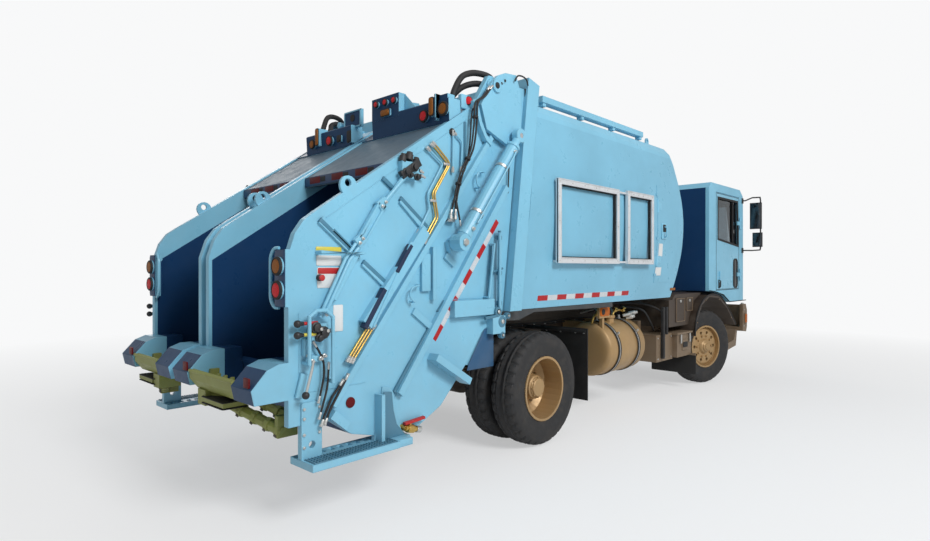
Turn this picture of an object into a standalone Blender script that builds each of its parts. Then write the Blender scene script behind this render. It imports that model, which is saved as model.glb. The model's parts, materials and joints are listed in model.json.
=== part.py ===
"""Garbage truck with a split load body and two rear hoppers side by side, each on its own tailgate.

Frame of the finished part: +X forwards, +Y to the vehicle's left, +Z up, metres.
While modelling, x is counted from the rear axle; the last step moves everything by ORIGIN_X,
so that the origin is under the middle of the vehicle, on the ground.
"""
import math

import bmesh
import bpy
from mathutils import Matrix, Vector

# General
GAP = 0.0003                 # seam between two pieces that touch
MOVE_GAP = 0.010             # room beside a piece that moves
RIGHT = -1
LEFT = 1
SIDE_NAMES = {RIGHT: "right", LEFT: "left"}

# Whole vehicle
WHEELBASE = 4.09
REAR_END = -2.84
FRONT_END = 5.66
ORIGIN_X = (REAR_END + FRONT_END) / 2

# Wheels
TYRE_RADIUS = 0.525
TYRE_WIDTH = 0.27
RIM_RADIUS = 0.300
RIM_WALL = 0.022
RIM_WIDTH = 0.21
DUAL_SPACING = 0.32
REAR_OUTER_Y = 1.084         # middle of the outer rear tyre
REAR_INNER_Y = REAR_OUTER_Y - DUAL_SPACING
FRONT_TRACK_Y = 1.04         # middle of the front tyre
KINGPIN_Y = 0.90
KINGPIN_LOW = 0.46           # axle eye round the kingpin, from its low to its top face
KINGPIN_TOP = 0.59
KINGPIN_BOSS = 0.048
HUB_RADIUS = 0.11
STEER_REST_DEG = -17.0       # the front wheels are parked turned to the right

# Chassis
RAIL_OUT = 0.43
RAIL_WEB = 0.08
RAIL_LOW = 0.80
RAIL_TOP = 1.06
RAIL_REAR = -0.50
RAIL_FRONT = 5.44
BUMPER_HALF = 1.18
AXLE_TUBE_RADIUS = 0.075
SPRING_IN = 0.46
SPRING_OUT = 0.54
SPRING_HALF = 0.62
GEARBOX_END = 3.74
DIFFERENTIAL_NOSE = 0.40

# Load body
BODY_FLOOR_Z = 1.27
BODY_TOP_Z = 3.19
BODY_WALL = 0.05
BODY_CROWN = 0.085           # how far the side bulges between floor and roof
BODY_CORNER = 0.10
SPLIT_Y = 0.08
POST_DEPTH = 0.16
LEAN = 0.128                 # forward lean of the rear opening, x per z
OPENING_X = -0.54            # rear opening at the floor's height
HEADER_TOP = 3.34

# Tailgates
HINGE = (-0.70, 3.17)
SHELL_HALF = 1.145           # outer face of the outer side plate
PLATE = 0.05
BODY_HALF = SHELL_HALF + 0.055
TAIL_GAP = 0.04              # half the gap between the two tailgates
EAR_IN = SHELL_HALF + 0.02   # hinge ear of the rear frame, outside the side plate
EAR_OUT = EAR_IN + 0.035
POST_HALF = EAR_OUT + 0.02
SEAL_GAP = 0.012             # between tailgate and rear opening
TAIL_REAR = -2.60
HOPPER_FLOOR = 0.035
SLOPE_LOW = (-2.407, 2.004)
SLOPE_HIGH = (-0.920, 2.983)
ROOF_REAR_X = -1.79
ROOF_FRONT_X = -1.20
BEAM_TOP = 2.99              # lamp beams at the upper edge of the roof panels
BEAM_DEPTH = 0.13
SILL_X = -2.46
SILL_Z = 0.97
BOX_WIDE = 0.26              # corner boxes behind the sill
STEP_IN = SHELL_HALF - 0.115
STEP_OUT = SHELL_HALF + 0.145
STEP_Z = 0.445

# Lift cylinders
LIFT_LOW = (-1.20, 1.84)
LIFT_TOP = (-0.47, 2.78)
LIFT_RADIUS = 0.055
LIFT_Y = EAR_OUT + LIFT_RADIUS + 0.005
LIFT_ROD = 0.028
LIFT_BARREL = 1.06
LIFT_BORE_START = 0.10       # from the lower pin; the rod reaches down to it at rest
EYE_RADIUS = 0.06
EYE_HALF = 0.030

# Packer
SWEEP_PIN = (-1.254, 2.008)
TRACK_DIR = (0.621, 0.784)
PACKER_LENGTH = 0.56
PACKER_THICK = 0.09
SWEEP_LENGTH = 0.80
SWEEP_THICK = 0.08
SWEEP_REST_DEG = -54.0

# Cart lifters
LIFTER_PIN = (REAR_END + 0.18, 0.90)
LIFTER_ARM = 0.036           # half height of the lifter's lower arms

# Cab
CAB_REAR = 3.98
CAB_FRONT = 5.55
CAB_TOP = 2.88
CAB_BELT = 1.80              # the front is upright below this height and raked above it
CAB_RAKE = 0.15
CAB_HALF = 1.20
CAB_WALL = 0.05
CAB_FLOOR = 1.13
ARCH_TOP = 1.30
SEAT_FLOOR = 1.36            # floor under the seats, over the wheel arches
SCREEN_LOW = 1.95
SCREEN_TOP = CAB_TOP - 0.22
SCREEN_HALF = 0.98
DOOR_REAR = 4.24
DOOR_FRONT = 5.22
DOOR_LOW = 1.32
DOOR_TOP = CAB_TOP - 0.12
SEAT_TOP = CAB_TOP - 0.46
DOOR_THICK = 0.05
DOOR_GAP = 0.008
HINGE_Y = CAB_HALF + 0.014   # door hinge axis, just outside the skin
DOOR_HINGE_LEVELS = (1.55, DOOR_TOP - 0.41)
WINDOW_LOW = 2.08
WINDOW_TOP = DOOR_TOP - 0.08
MIRROR_TOP = CAB_TOP - 0.10
HEADLAMP_RADIUS = 0.075

MATERIALS = {
    # name: colour, roughness, metallic
    "body_blue": ((0.22, 0.50, 0.67), 0.35, 0.0),
    "deep_blue": ((0.02, 0.07, 0.20), 0.45, 0.0),
    "chassis_bronze": ((0.19, 0.12, 0.07), 0.5, 0.3),
    "wheel_gold": ((0.35, 0.24, 0.10), 0.4, 0.5),
    "tyre_rubber": ((0.015, 0.015, 0.017), 0.85, 0.0),
    "skirt_grey": ((0.05, 0.055, 0.06), 0.6, 0.0),
    "roof_slate": ((0.13, 0.15, 0.17), 0.5, 0.0),
    "aluminium": ((0.60, 0.62, 0.63), 0.35, 0.9),
    "lifter_olive": ((0.23, 0.26, 0.07), 0.5, 0.1),
    "rod_chrome": ((0.75, 0.76, 0.78), 0.15, 1.0),
    "glass_grey": ((0.10, 0.13, 0.16), 0.08, 0.0),
    "trim_black": ((0.02, 0.02, 0.022), 0.55, 0.0),
    "seat_grey": ((0.07, 0.07, 0.08), 0.85, 0.0),
    "cast_grey": ((0.12, 0.12, 0.12), 0.6, 0.4),
}

AXIS_TURN = {
    "x": Matrix(((0, 0, 1), (1, 0, 0), (0, 1, 0))),
    "y": Matrix(((0, 1, 0), (0, 0, 1), (1, 0, 0))),
    "z": Matrix(((1, 0, 0), (0, 1, 0), (0, 0, 1))),
}
PRISM_AXES = {"x": (1, 2, 0), "y": (0, 2, 1), "z": (0, 1, 2)}


# Modelling helpers

def clear_scene():
    """Remove every object of the file."""
    for thing in list(bpy.data.objects):
        bpy.data.objects.remove(thing)


def make_material(name):
    """Principled material from the table, made once."""
    if name in bpy.data.materials:
        return bpy.data.materials[name]
    colour, roughness, metallic = MATERIALS[name]
    material = bpy.data.materials.new(name)
    material.use_nodes = True
    shader = material.node_tree.nodes["Principled BSDF"]
    shader.inputs["Base Color"].default_value = (*colour, 1.0)
    shader.inputs["Roughness"].default_value = roughness
    shader.inputs["Metallic"].default_value = metallic
    material.diffuse_color = (*colour, 1.0)
    return material


def link(mesh, name="piece"):
    """Put a mesh into the scene as an object."""
    thing = bpy.data.objects.new(name, mesh)
    bpy.context.scene.collection.objects.link(thing)
    return thing


def from_faces(points, faces):
    """Closed object from points and faces, turned to face outwards."""
    mesh = bpy.data.meshes.new("piece")
    mesh.from_pydata([tuple(point) for point in points], [], faces)
    work = bmesh.new()
    work.from_mesh(mesh)
    bmesh.ops.recalc_face_normals(work, faces=work.faces)
    work.to_mesh(mesh)
    work.free()
    return link(mesh)


def prism(outline, axis, start, end):
    """Outline of two coordinates, extruded along the named axis from start to end."""
    first, second, along = PRISM_AXES[axis]
    points = []
    for level in (start, end):
        for a, b in outline:
            point = [0.0, 0.0, 0.0]
            point[first] = a
            point[second] = b
            point[along] = level
            points.append(point)
    count = len(outline)
    faces = [tuple(range(count)), tuple(range(2 * count - 1, count - 1, -1))]
    for i in range(count):
        j = (i + 1) % count
        faces.append((i, j, j + count, i + count))
    return from_faces(points, faces)


def box(x0, x1, y0, y1, z0, z1):
    """Block between two corners."""
    return prism([(x0, z0), (x1, z0), (x1, z1), (x0, z1)], "y", y0, y1)


def lathe(profile, axis, centre, segments, ring=False):
    """Profile of (distance along the axis, radius), turned round the axis through centre."""
    turn = AXIS_TURN[axis]
    middle = Vector(centre)
    points = []
    rows = []
    for along, radius in profile:
        row = []
        steps = segments if radius > 0 else 1
        for k in range(steps):
            angle = 2 * math.pi * k / segments
            local = Vector((radius * math.cos(angle), radius * math.sin(angle), along))
            row.append(len(points))
            points.append(middle + turn @ local)
        rows.append(row)
    faces = []
    pairs = list(zip(rows, rows[1:]))
    if ring:
        pairs.append((rows[-1], rows[0]))
    for low, high in pairs:
        for k in range(segments):
            n = (k + 1) % segments
            if len(low) == 1:
                faces.append((low[0], high[n], high[k]))
            elif len(high) == 1:
                faces.append((low[k], low[n], high[0]))
            else:
                faces.append((low[k], low[n], high[n], high[k]))
    if not ring:
        for row in (rows[0], rows[-1]):
            if len(row) > 1:
                faces.append(tuple(row))
    return from_faces(points, faces)


def disc(axis, centre, radius, half, segments=16):
    """Plain round boss, half is half its thickness."""
    return lathe([(-half, radius), (half, radius)], axis, centre, segments)


def rod(start, end, radius, segments=10):
    """Round bar from one point to another."""
    return pipe([start, end], radius, segments)


def pipe(path, radius, segments=8):
    """Round bar along a path of points, mitred at its bends."""
    spots = [Vector(point) for point in path]
    points = []
    side = None
    for i, spot in enumerate(spots):
        before = (spot - spots[i - 1]).normalized() if i else None
        after = (spots[i + 1] - spot).normalized() if i + 1 < len(spots) else None
        along = ((before or after) + (after or before)).normalized()
        if side is None:
            guide = Vector((0, 0, 1)) if abs(along.z) < 0.9 else Vector((1, 0, 0))
            side = along.cross(guide).normalized()
        side = (side - along * side.dot(along)).normalized()
        other = along.cross(side)
        stretch = 1 / max(0.5, along.dot(before or after))
        bend = (after - before) if before and after else Vector((0, 0, 0))
        outward = bend.normalized() if bend.length > 1e-6 else None
        for k in range(segments):
            angle = 2 * math.pi * (k + 0.5) / segments
            offset = (side * math.cos(angle) + other * math.sin(angle)) * radius
            if outward is not None:
                offset += outward * offset.dot(outward) * (stretch - 1)
            points.append(spot + offset)
    faces = []
    for i in range(len(spots) - 1):
        for k in range(segments):
            n = (k + 1) % segments
            low = i * segments
            faces.append((low + k, low + n, low + segments + n, low + segments + k))
    last = (len(spots) - 1) * segments
    faces.append(tuple(range(segments)))
    faces.append(tuple(range(last, last + segments)))
    return from_faces(points, faces)


def bar(start, end, wide, y0, y1):
    """Flat bar in the side view from start to end (x, z), wide across, between y0 and y1."""
    a = Vector(start)
    b = Vector(end)
    across = (b - a).normalized()
    across = Vector((-across.y, across.x)) * wide / 2
    outline = [a + across, b + across, b - across, a - across]
    return prism([tuple(point) for point in outline], "y", y0, y1)


def arc(centre, radius, start_deg, end_deg, steps):
    """Points on a circle in the plane of an outline."""
    points = []
    for k in range(steps + 1):
        angle = math.radians(start_deg + (end_deg - start_deg) * k / steps)
        points.append((centre[0] + radius * math.cos(angle), centre[1] + radius * math.sin(angle)))
    return points


def apply_boolean(target, operation, tools):
    """Join or cut with each tool in turn and bake the result into the target's mesh."""
    for tool in tools:
        modifier = target.modifiers.new("boolean", "BOOLEAN")
        modifier.operation = operation
        modifier.solver = "EXACT"
        modifier.object = tool
        graph = bpy.context.evaluated_depsgraph_get()
        result = bpy.data.meshes.new_from_object(target.evaluated_get(graph))
        target.modifiers.clear()
        target.data = result
        bpy.data.objects.remove(tool)
    return target


def join(target, *tools):
    """Boolean union."""
    return apply_boolean(target, "UNION", tools)


def cut(target, *tools):
    """Boolean difference."""
    return apply_boolean(target, "DIFFERENCE", tools)


def overlap(target, *tools):
    """Boolean intersection."""
    return apply_boolean(target, "INTERSECT", tools)


def turn_about(thing, axis, point, degrees):
    """Turn the mesh itself about an axis through a point."""
    middle = Vector(point)
    spin = Matrix.Rotation(math.radians(degrees), 4, axis.upper())
    thing.data.transform(Matrix.Translation(middle) @ spin @ Matrix.Translation(-middle))
    return thing


def node(thing, name, material, pivot=(0.0, 0.0, 0.0)):
    """Name and paint a finished piece; its origin goes to pivot, counted from the rear axle."""
    thing.name = name
    thing.data.name = name
    thing.data.materials.clear()
    thing.data.materials.append(make_material(material))
    thing.data.transform(Matrix.Translation(-Vector(pivot)))
    thing.location = Vector(pivot) - Vector((ORIGIN_X, 0, 0))
    return thing


# Chassis and running gear

def chassis_frame():
    """Two side rails, cross members and the brackets that hold the rear springs."""
    rail_in = RAIL_OUT - RAIL_WEB
    frame = box(RAIL_REAR, RAIL_FRONT, rail_in, RAIL_OUT, RAIL_LOW, RAIL_TOP)
    parts = [box(RAIL_REAR, RAIL_FRONT, -RAIL_OUT, -rail_in, RAIL_LOW, RAIL_TOP)]
    for x in (-0.42, 1.0, 2.2, 3.3, 5.30):
        parts.append(box(x, x + 0.1, -rail_in - 0.01, rail_in + 0.01, RAIL_LOW + 0.03, RAIL_TOP - 0.03))
    for side in (RIGHT, LEFT):
        for x in (-SPRING_HALF + 0.12, SPRING_HALF):
            parts.append(box(x - 0.05, x + 0.05, side * (RAIL_OUT - 0.01), side * SPRING_OUT,
                             RAIL_LOW, RAIL_LOW + 0.18))
        # long sill that the load body stands on
        parts.append(box(RAIL_REAR, 2.75, side * (rail_in + 0.005), side * (RAIL_OUT - 0.005),
                         RAIL_TOP - 0.01, BODY_FLOOR_Z - GAP))
    return node(join(frame, *parts), "chassis_frame", "chassis_bronze")


def engine_block():
    """Heavy mass between the rails, plain."""
    block = box(4.36, 5.22, -0.30, 0.30, RAIL_LOW - 0.08, CAB_FLOOR - 0.02)
    lugs = [box(4.7, 4.85, side * 0.29, side * (RAIL_OUT - RAIL_WEB - GAP), 0.86, 0.98)
            for side in (RIGHT, LEFT)]
    gearbox = prism([(4.40, 0.70), (4.40, 1.02), (4.20, 1.0), (4.00, 0.90), (GEARBOX_END, 0.88), (GEARBOX_END, 0.70)],
                    "y", -0.16, 0.16)
    return node(join(block, gearbox, *lugs), "engine_block", "cast_grey")


def prop_shaft():
    """Shaft from the gearbox down to the differential, with a flange at each end."""
    nose = DIFFERENTIAL_NOSE + GAP
    start = Vector((GEARBOX_END - GAP - 0.015, 0, 0.77))
    end = Vector((nose + 0.015, 0, TYRE_RADIUS))
    shaft = rod(start, end, 0.045, 12)
    flanges = [disc("x", (GEARBOX_END - GAP - 0.02, 0, 0.77), 0.075, 0.02, 12),
               disc("x", (nose + 0.02, 0, TYRE_RADIUS), 0.075, 0.02, 12)]
    return node(join(shaft, *flanges), "prop_shaft", "cast_grey")


def leaf_spring(x, half, y0, y1):
    """Arched pack of leaves, its tips just under the rails."""
    tip = RAIL_LOW - GAP
    seat = TYRE_RADIUS + AXLE_TUBE_RADIUS - 0.005
    outline = [(x - half, tip), (x - half / 2, tip - 0.06), (x, seat + 0.07), (x + half / 2, tip - 0.06),
               (x + half, tip), (x + half, tip - 0.03), (x + half / 3, seat + 0.02), (x + 0.12, seat),
               (x - 0.12, seat), (x - half / 3, seat + 0.02), (x - half, tip - 0.03)]
    return prism(outline, "y", y0, y1)


def rear_axle():
    """Axle tube with its differential housing, brake drums and leaf springs."""
    hub_face = REAR_OUTER_Y - DUAL_SPACING / 2 - HUB_RADIUS
    reach = 0.60
    profile = [(-reach, AXLE_TUBE_RADIUS), (-0.26, AXLE_TUBE_RADIUS), (-0.16, 0.19), (0.16, 0.19),
               (0.26, AXLE_TUBE_RADIUS), (reach, AXLE_TUBE_RADIUS)]
    axle = lathe(profile, "y", (0, 0, TYRE_RADIUS), 20)
    parts = [lathe([(0, 0.11), (DIFFERENTIAL_NOSE - 0.1, 0.07)], "x", (0.1, 0, TYRE_RADIUS), 12)]
    for side in (RIGHT, LEFT):
        parts.append(leaf_spring(0.0, SPRING_HALF - 0.07, side * SPRING_IN, side * SPRING_OUT))
        drum = disc("y", (0, side * (reach + hub_face - GAP) / 2, TYRE_RADIUS), 0.20,
                    (hub_face - GAP - reach) / 2)
        parts.append(drum)
    axle = join(axle, *parts)
    return node(axle, "rear_axle", "chassis_bronze")


def front_axle():
    """Dropped beam with its leaf springs; its ends carry the kingpins."""
    x = WHEELBASE
    flat = 0.085             # level stretch beside the kingpin, clear of the turning knuckle
    outline = [(-KINGPIN_Y, KINGPIN_LOW), (-KINGPIN_Y + flat, KINGPIN_LOW), (-0.62, 0.40), (0.62, 0.40),
               (KINGPIN_Y - flat, KINGPIN_LOW), (KINGPIN_Y, KINGPIN_LOW), (KINGPIN_Y, KINGPIN_TOP),
               (KINGPIN_Y - 0.10, KINGPIN_TOP), (0.60, 0.50), (-0.60, 0.50), (-KINGPIN_Y + 0.10, KINGPIN_TOP),
               (-KINGPIN_Y, KINGPIN_TOP)]
    beam = prism(outline, "x", x - 0.035, x + 0.035)
    parts = [disc("z", (x, side * KINGPIN_Y, (KINGPIN_LOW + KINGPIN_TOP) / 2), KINGPIN_BOSS,
                  (KINGPIN_TOP - KINGPIN_LOW) / 2, 16) for side in (RIGHT, LEFT)]
    for side in (RIGHT, LEFT):
        spring = leaf_spring(x, 0.62, side * (RAIL_OUT - RAIL_WEB), side * RAIL_OUT)
        parts.append(spring)
        parts.append(box(x - 0.07, x + 0.07, side * (RAIL_OUT - RAIL_WEB), side * RAIL_OUT, 0.49, 0.62))
    return node(join(beam, *parts), "front_axle", "chassis_bronze")


def tyre_profile(middle):
    """Cross-section of a tyre as (y, radius), turned into a ring."""
    half = TYRE_WIDTH / 2
    return [(middle - RIM_WIDTH / 2, RIM_RADIUS), (middle - half * 0.86, RIM_RADIUS + 0.05),
            (middle - half, TYRE_RADIUS - 0.11), (middle - half * 0.93, TYRE_RADIUS - 0.03),
            (middle - half * 0.72, TYRE_RADIUS), (middle + half * 0.72, TYRE_RADIUS),
            (middle + half * 0.93, TYRE_RADIUS - 0.03), (middle + half, TYRE_RADIUS - 0.11),
            (middle + half * 0.86, RIM_RADIUS + 0.05), (middle + RIM_WIDTH / 2, RIM_RADIUS)]


def tyre(middle, x, name):
    """One tyre standing on the ground."""
    ring = lathe(tyre_profile(middle), "y", (x, 0, TYRE_RADIUS), 32, ring=True)
    return node(ring, name, "tyre_rubber", (x, middle, TYRE_RADIUS))


def rear_rims(side):
    """Both rims of a dual wheel on one hub, as one turned piece with hand holes."""
    lip = 0.012
    inboard = REAR_INNER_Y - RIM_WIDTH / 2 - lip
    outboard = REAR_OUTER_Y + RIM_WIDTH / 2 + lip
    outer = RIM_RADIUS - GAP
    inner = outer - RIM_WALL
    disc_y = (REAR_OUTER_Y + REAR_INNER_Y) / 2
    hub_back = REAR_OUTER_Y - DUAL_SPACING / 2 - HUB_RADIUS
    hub_front = disc_y + 0.19
    profile = [(hub_back, 0.0), (hub_back, HUB_RADIUS + 0.05), (disc_y - 0.02, HUB_RADIUS + 0.05),
               (disc_y - 0.02, inner - 0.05), (disc_y - 0.07, inner), (inboard, inner),
               (inboard, outer), (outboard, outer), (outboard, inner), (disc_y + 0.07, inner),
               (disc_y + 0.02, inner - 0.05), (disc_y + 0.02, HUB_RADIUS + 0.03),
               (hub_front - 0.02, HUB_RADIUS), (hub_front, HUB_RADIUS - 0.03), (hub_front, 0.0)]
    wheel = lathe([(side * y, r) for y, r in profile], "y", (0, 0, TYRE_RADIUS), 32)
    for k in range(5):
        angle = 2 * math.pi * (k + 0.3) / 5
        spot = (0.195 * math.cos(angle), side * disc_y, TYRE_RADIUS + 0.195 * math.sin(angle))
        cut(wheel, disc("y", spot, 0.032, 0.2, 10))
    return node(wheel, f"rear_rims_{SIDE_NAMES[side]}", "wheel_gold", (0, side * disc_y, TYRE_RADIUS))


def front_rim(side):
    """Front rim with its disc bulging outwards, a hub and a ring of hand holes."""
    lip = 0.012
    middle = FRONT_TRACK_Y
    inboard = middle - RIM_WIDTH / 2 - lip
    outboard = middle + RIM_WIDTH / 2 + lip
    outer = RIM_RADIUS - GAP
    inner = outer - RIM_WALL
    disc_y = middle + 0.06
    hub_back = middle - 0.02
    hub_front = disc_y + 0.07
    profile = [(hub_back, 0.0), (hub_back, HUB_RADIUS), (disc_y - 0.02, HUB_RADIUS + 0.02),
               (disc_y - 0.02, inner - 0.05), (disc_y - 0.06, inner), (inboard, inner),
               (inboard, outer), (outboard, outer), (outboard, inner), (disc_y, inner),
               (disc_y + 0.02, inner - 0.04), (disc_y + 0.02, HUB_RADIUS),
               (hub_front - 0.02, HUB_RADIUS - 0.02), (hub_front, HUB_RADIUS - 0.05), (hub_front, 0.0)]
    wheel = lathe([(side * y, r) for y, r in profile], "y", (WHEELBASE, 0, TYRE_RADIUS), 32)
    for k in range(10):
        angle = 2 * math.pi * k / 10
        spot = (WHEELBASE + 0.20 * math.cos(angle), side * disc_y, TYRE_RADIUS + 0.20 * math.sin(angle))
        cut(wheel, disc("y", spot, 0.024, 0.1, 8))
    return wheel


def knuckle(side):
    """Steering knuckle round the axle's end, with its spindle, track arm and brake drum."""
    spindle_end = FRONT_TRACK_Y - 0.02 - GAP
    plate_in = KINGPIN_Y + KINGPIN_BOSS + 0.007
    body = box(WHEELBASE - 0.06, WHEELBASE + 0.06, side * plate_in, side * (plate_in + 0.03), 0.41, 0.64)
    parts = []
    for low, high in ((0.41, KINGPIN_LOW - GAP), (KINGPIN_TOP + GAP, 0.64)):
        parts.append(box(WHEELBASE - 0.045, WHEELBASE + 0.045, side * (KINGPIN_Y - 0.045),
                         side * (plate_in + 0.01), low, high))
    parts.append(disc("y", (WHEELBASE, side * (plate_in + 0.01 + spindle_end) / 2, TYRE_RADIUS),
                      0.06, (spindle_end - plate_in - 0.01) / 2, 14))
    parts.append(box(WHEELBASE - 0.22, WHEELBASE - 0.03, side * (KINGPIN_Y - 0.04), side * KINGPIN_Y,
                     0.412, 0.445))
    return join(body, *parts)


def front_wheels():
    """Knuckle, rim and tyre on each side, all turned about the kingpin to the parked angle."""
    for side in (RIGHT, LEFT):
        name = SIDE_NAMES[side]
        pin = (WHEELBASE, side * KINGPIN_Y, TYRE_RADIUS)
        middle = Vector((0, side * (FRONT_TRACK_Y - KINGPIN_Y), 0))
        middle.rotate(Matrix.Rotation(math.radians(STEER_REST_DEG), 3, "Z"))
        centre = Vector(pin) + middle
        pieces = (
            (knuckle(side), f"knuckle_{name}", "chassis_bronze", pin),
            (front_rim(side), f"front_rim_{name}", "wheel_gold", centre),
            (lathe(tyre_profile(side * FRONT_TRACK_Y), "y", (WHEELBASE, 0, TYRE_RADIUS), 32, ring=True),
             f"front_tyre_{name}", "tyre_rubber", centre),
        )
        for thing, label, paint, pivot in pieces:
            turn_about(thing, "z", pin, STEER_REST_DEG)
            node(thing, label, paint, pivot)


def rear_wheels():
    """Dual wheels."""
    for side in (RIGHT, LEFT):
        name = SIDE_NAMES[side]
        rear_rims(side)
        tyre(side * REAR_OUTER_Y, 0.0, f"rear_tyre_outer_{name}")
        tyre(side * REAR_INNER_Y, 0.0, f"rear_tyre_inner_{name}")


def fuel_tank():
    """Round tank along the right rail with two straps and its brackets."""
    x0, x1, radius, y, z = 1.28, 2.12, 0.30, -0.86, 0.73
    profile = [(x0, 0.0), (x0, radius - 0.05), (x0 + 0.03, radius)]
    for x in (x0 + 0.17, x1 - 0.22):
        profile += [(x, radius), (x, radius + 0.008), (x + 0.05, radius + 0.008), (x + 0.05, radius)]
    profile += [(x1 - 0.03, radius), (x1, radius - 0.05), (x1, 0.0)]
    tank = lathe(profile, "x", (0, y, z), 24)
    parts = [box(x, x + 0.07, -RAIL_OUT - GAP, y + 0.15, RAIL_LOW - 0.2, RAIL_TOP - 0.04)
             for x in (x0 + 0.16, x1 - 0.23)]
    parts.append(disc("z", (x0 + 0.40, y - 0.06, z + radius), 0.05, 0.035, 12))
    # rounded lamp bracket standing over the tank
    parts.append(box(x0 + 0.03, x0 + 0.07, y - 0.18, y - 0.14, z + 0.22, z + 0.44))
    parts.append(box(x0 - 0.05, x0 + 0.17, y - 0.19, y - 0.16, z + 0.36, z + 0.50))
    return node(join(tank, *parts), "fuel_tank", "wheel_gold")


def battery_box():
    """Battery box, tool box and the short flap ahead of the front wheel's arch, on one bracket."""
    boxes = box(2.98, 3.42, -1.17, -0.80, 0.48, 0.78)
    parts = [box(2.52, 2.99, -1.10, -0.80, 0.46, 0.80),
             box(2.60, 2.68, -0.81, -RAIL_OUT - GAP, 0.60, 0.96),
             box(3.20, 3.28, -0.81, -RAIL_OUT - GAP, 0.60, 0.86),
             box(3.40, 3.412, -1.24, -0.62, 0.22, 0.50),
             box(2.96, 3.44, -1.185, -0.79, 0.775, 0.80),
             box(3.12, 3.28, -1.182, -1.16, 0.56, 0.70)]
    return node(join(boxes, *parts), "battery_box", "chassis_bronze")


def equipment_box():
    """Deep box between the load body and the cab, its top lowered where it runs under the body's front."""
    outline = [(2.84, 0.88), (2.84, BODY_FLOOR_Z - 0.04), (2.94, BODY_FLOOR_Z - 0.04), (3.02, BODY_FLOOR_Z + 0.03),
               (3.88, BODY_FLOOR_Z + 0.03), (3.88, 1.285), (3.66, 1.20), (3.47, 0.96), (3.45, 0.88)]
    block = prism(outline, "y", -1.12, -RAIL_OUT - GAP)
    doors = [box(x0, x1, -1.128, -1.115, z0, 1.25) for x0, x1, z0 in ((3.04, 3.32, 0.93), (3.37, 3.58, 1.06))]
    return node(join(block, *doors), "equipment_box", "chassis_bronze")


def hydraulic_tank():
    """Oil tank and air tank on the left rail."""
    tank = box(1.30, 2.20, 0.62, 1.12, 0.52, 1.08)
    parts = [box(x, x + 0.08, RAIL_OUT + GAP, 0.63, 0.62, 0.98) for x in (1.45, 1.95)]
    air = lathe([(2.35, 0.0), (2.35, 0.10), (2.40, 0.14), (3.15, 0.14), (3.20, 0.10), (3.20, 0.0)],
                "x", (0, 0.80, 0.72), 16)
    parts.append(box(2.15, 2.45, 0.74, 0.86, 0.68, 0.76))
    parts.append(air)
    return node(join(tank, *parts), "hydraulic_tank", "chassis_bronze")


def mud_flap(side):
    """Hanger bar on the rail with the flap ahead of the rear wheels."""
    hanger = rod((0.71, side * (RAIL_OUT + GAP), 1.0), (0.71, side * 1.20, 1.0), 0.022)
    flap = box(0.704, 0.716, side * 0.64, side * 1.22, 0.30, 1.03)
    return node(join(hanger, flap), f"mud_flap_{SIDE_NAMES[side]}", "trim_black")


def front_fender(side):
    """Band over the front wheel on a bracket from the rail."""
    x = WHEELBASE
    out_line = [(x - 0.60, 0.72), (x - 0.56, 0.94), (x - 0.38, 1.16), (x - 0.10, 1.265),
                (x + 0.28, 1.24), (x + 0.62, 1.07), (x + 0.98, 0.78)]
    in_line = [(x + 0.955, 0.765), (x + 0.60, 1.045), (x + 0.27, 1.21), (x - 0.09, 1.235),
               (x - 0.36, 1.135), (x - 0.535, 0.925), (x - 0.575, 0.72)]
    band = prism(out_line + in_line, "y", side * 0.74, side * 1.20)
    strut = box(x - 0.60, x - 0.53, side * (RAIL_OUT + GAP), side * 0.76, 0.84, 0.93)
    return node(join(band, strut), f"front_fender_{SIDE_NAMES[side]}", "chassis_bronze")


def front_bumper():
    """Bumper beam across the front, its ends wrapped back, with the low step under it."""
    front = FRONT_END
    outline = [(front - 0.20, 0.64), (front - 0.04, 0.62), (front, 0.70), (front, 0.97), (front - 0.06, 1.07),
               (front - 0.20, 1.07)]
    beam = prism(outline, "y", -BUMPER_HALF, BUMPER_HALF)
    cut(beam, box(front - 0.30, front - 0.05, -BUMPER_HALF + 0.05, BUMPER_HALF - 0.05, 0.70, 1.20))
    step = prism([(front - 0.60, 0.36), (front - 0.22, 0.40), (front - 0.16, 0.66), (front - 0.22, 0.66),
                  (front - 0.30, 0.50), (front - 0.60, 0.46)], "y", -BUMPER_HALF + 0.10, BUMPER_HALF - 0.10)
    cut(step, box(front - 0.7, front - 0.1, -0.62, 0.62, 0.3, 0.60))
    brackets = [box(RAIL_FRONT + GAP, front - 0.04, side * (RAIL_OUT - RAIL_WEB), side * RAIL_OUT,
                    RAIL_LOW + 0.02, RAIL_TOP - 0.06)
                for side in (RIGHT, LEFT)]
    for side in (RIGHT, LEFT):
        for y in (0.74, 0.95):
            cut(beam, disc("x", (front, side * y, 0.83), HEADLAMP_RADIUS + 0.01, 0.025, 16))
            brackets.append(disc("x", (front - 0.022, side * y, 0.83), HEADLAMP_RADIUS, 0.014, 16))
        # marker lamp on the end
        brackets.append(box(front - 0.15, front - 0.05, side * (BUMPER_HALF - 0.01), side * (BUMPER_HALF + 0.015),
                            0.76, 0.92))
    return node(join(beam, step, *brackets), "front_bumper", "chassis_bronze")


# Cab

def cab_outline(inset):
    """Side view of the cab, moved inwards by inset."""
    i = inset
    return [(CAB_REAR + i, ARCH_TOP + 0.02 + i), (CAB_REAR + i, CAB_TOP - 0.08),
            (CAB_REAR + 0.08, CAB_TOP - i), (CAB_FRONT - 0.30, CAB_TOP - i),
            (CAB_FRONT - CAB_RAKE - i, CAB_TOP - 0.10 - i / 2), (CAB_FRONT - i, CAB_BELT),
            (CAB_FRONT - i, CAB_FLOOR + i), (4.80 + i / 2, CAB_FLOOR + i), (4.55, 1.24 + i),
            (4.20, ARCH_TOP + i)]


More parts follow.
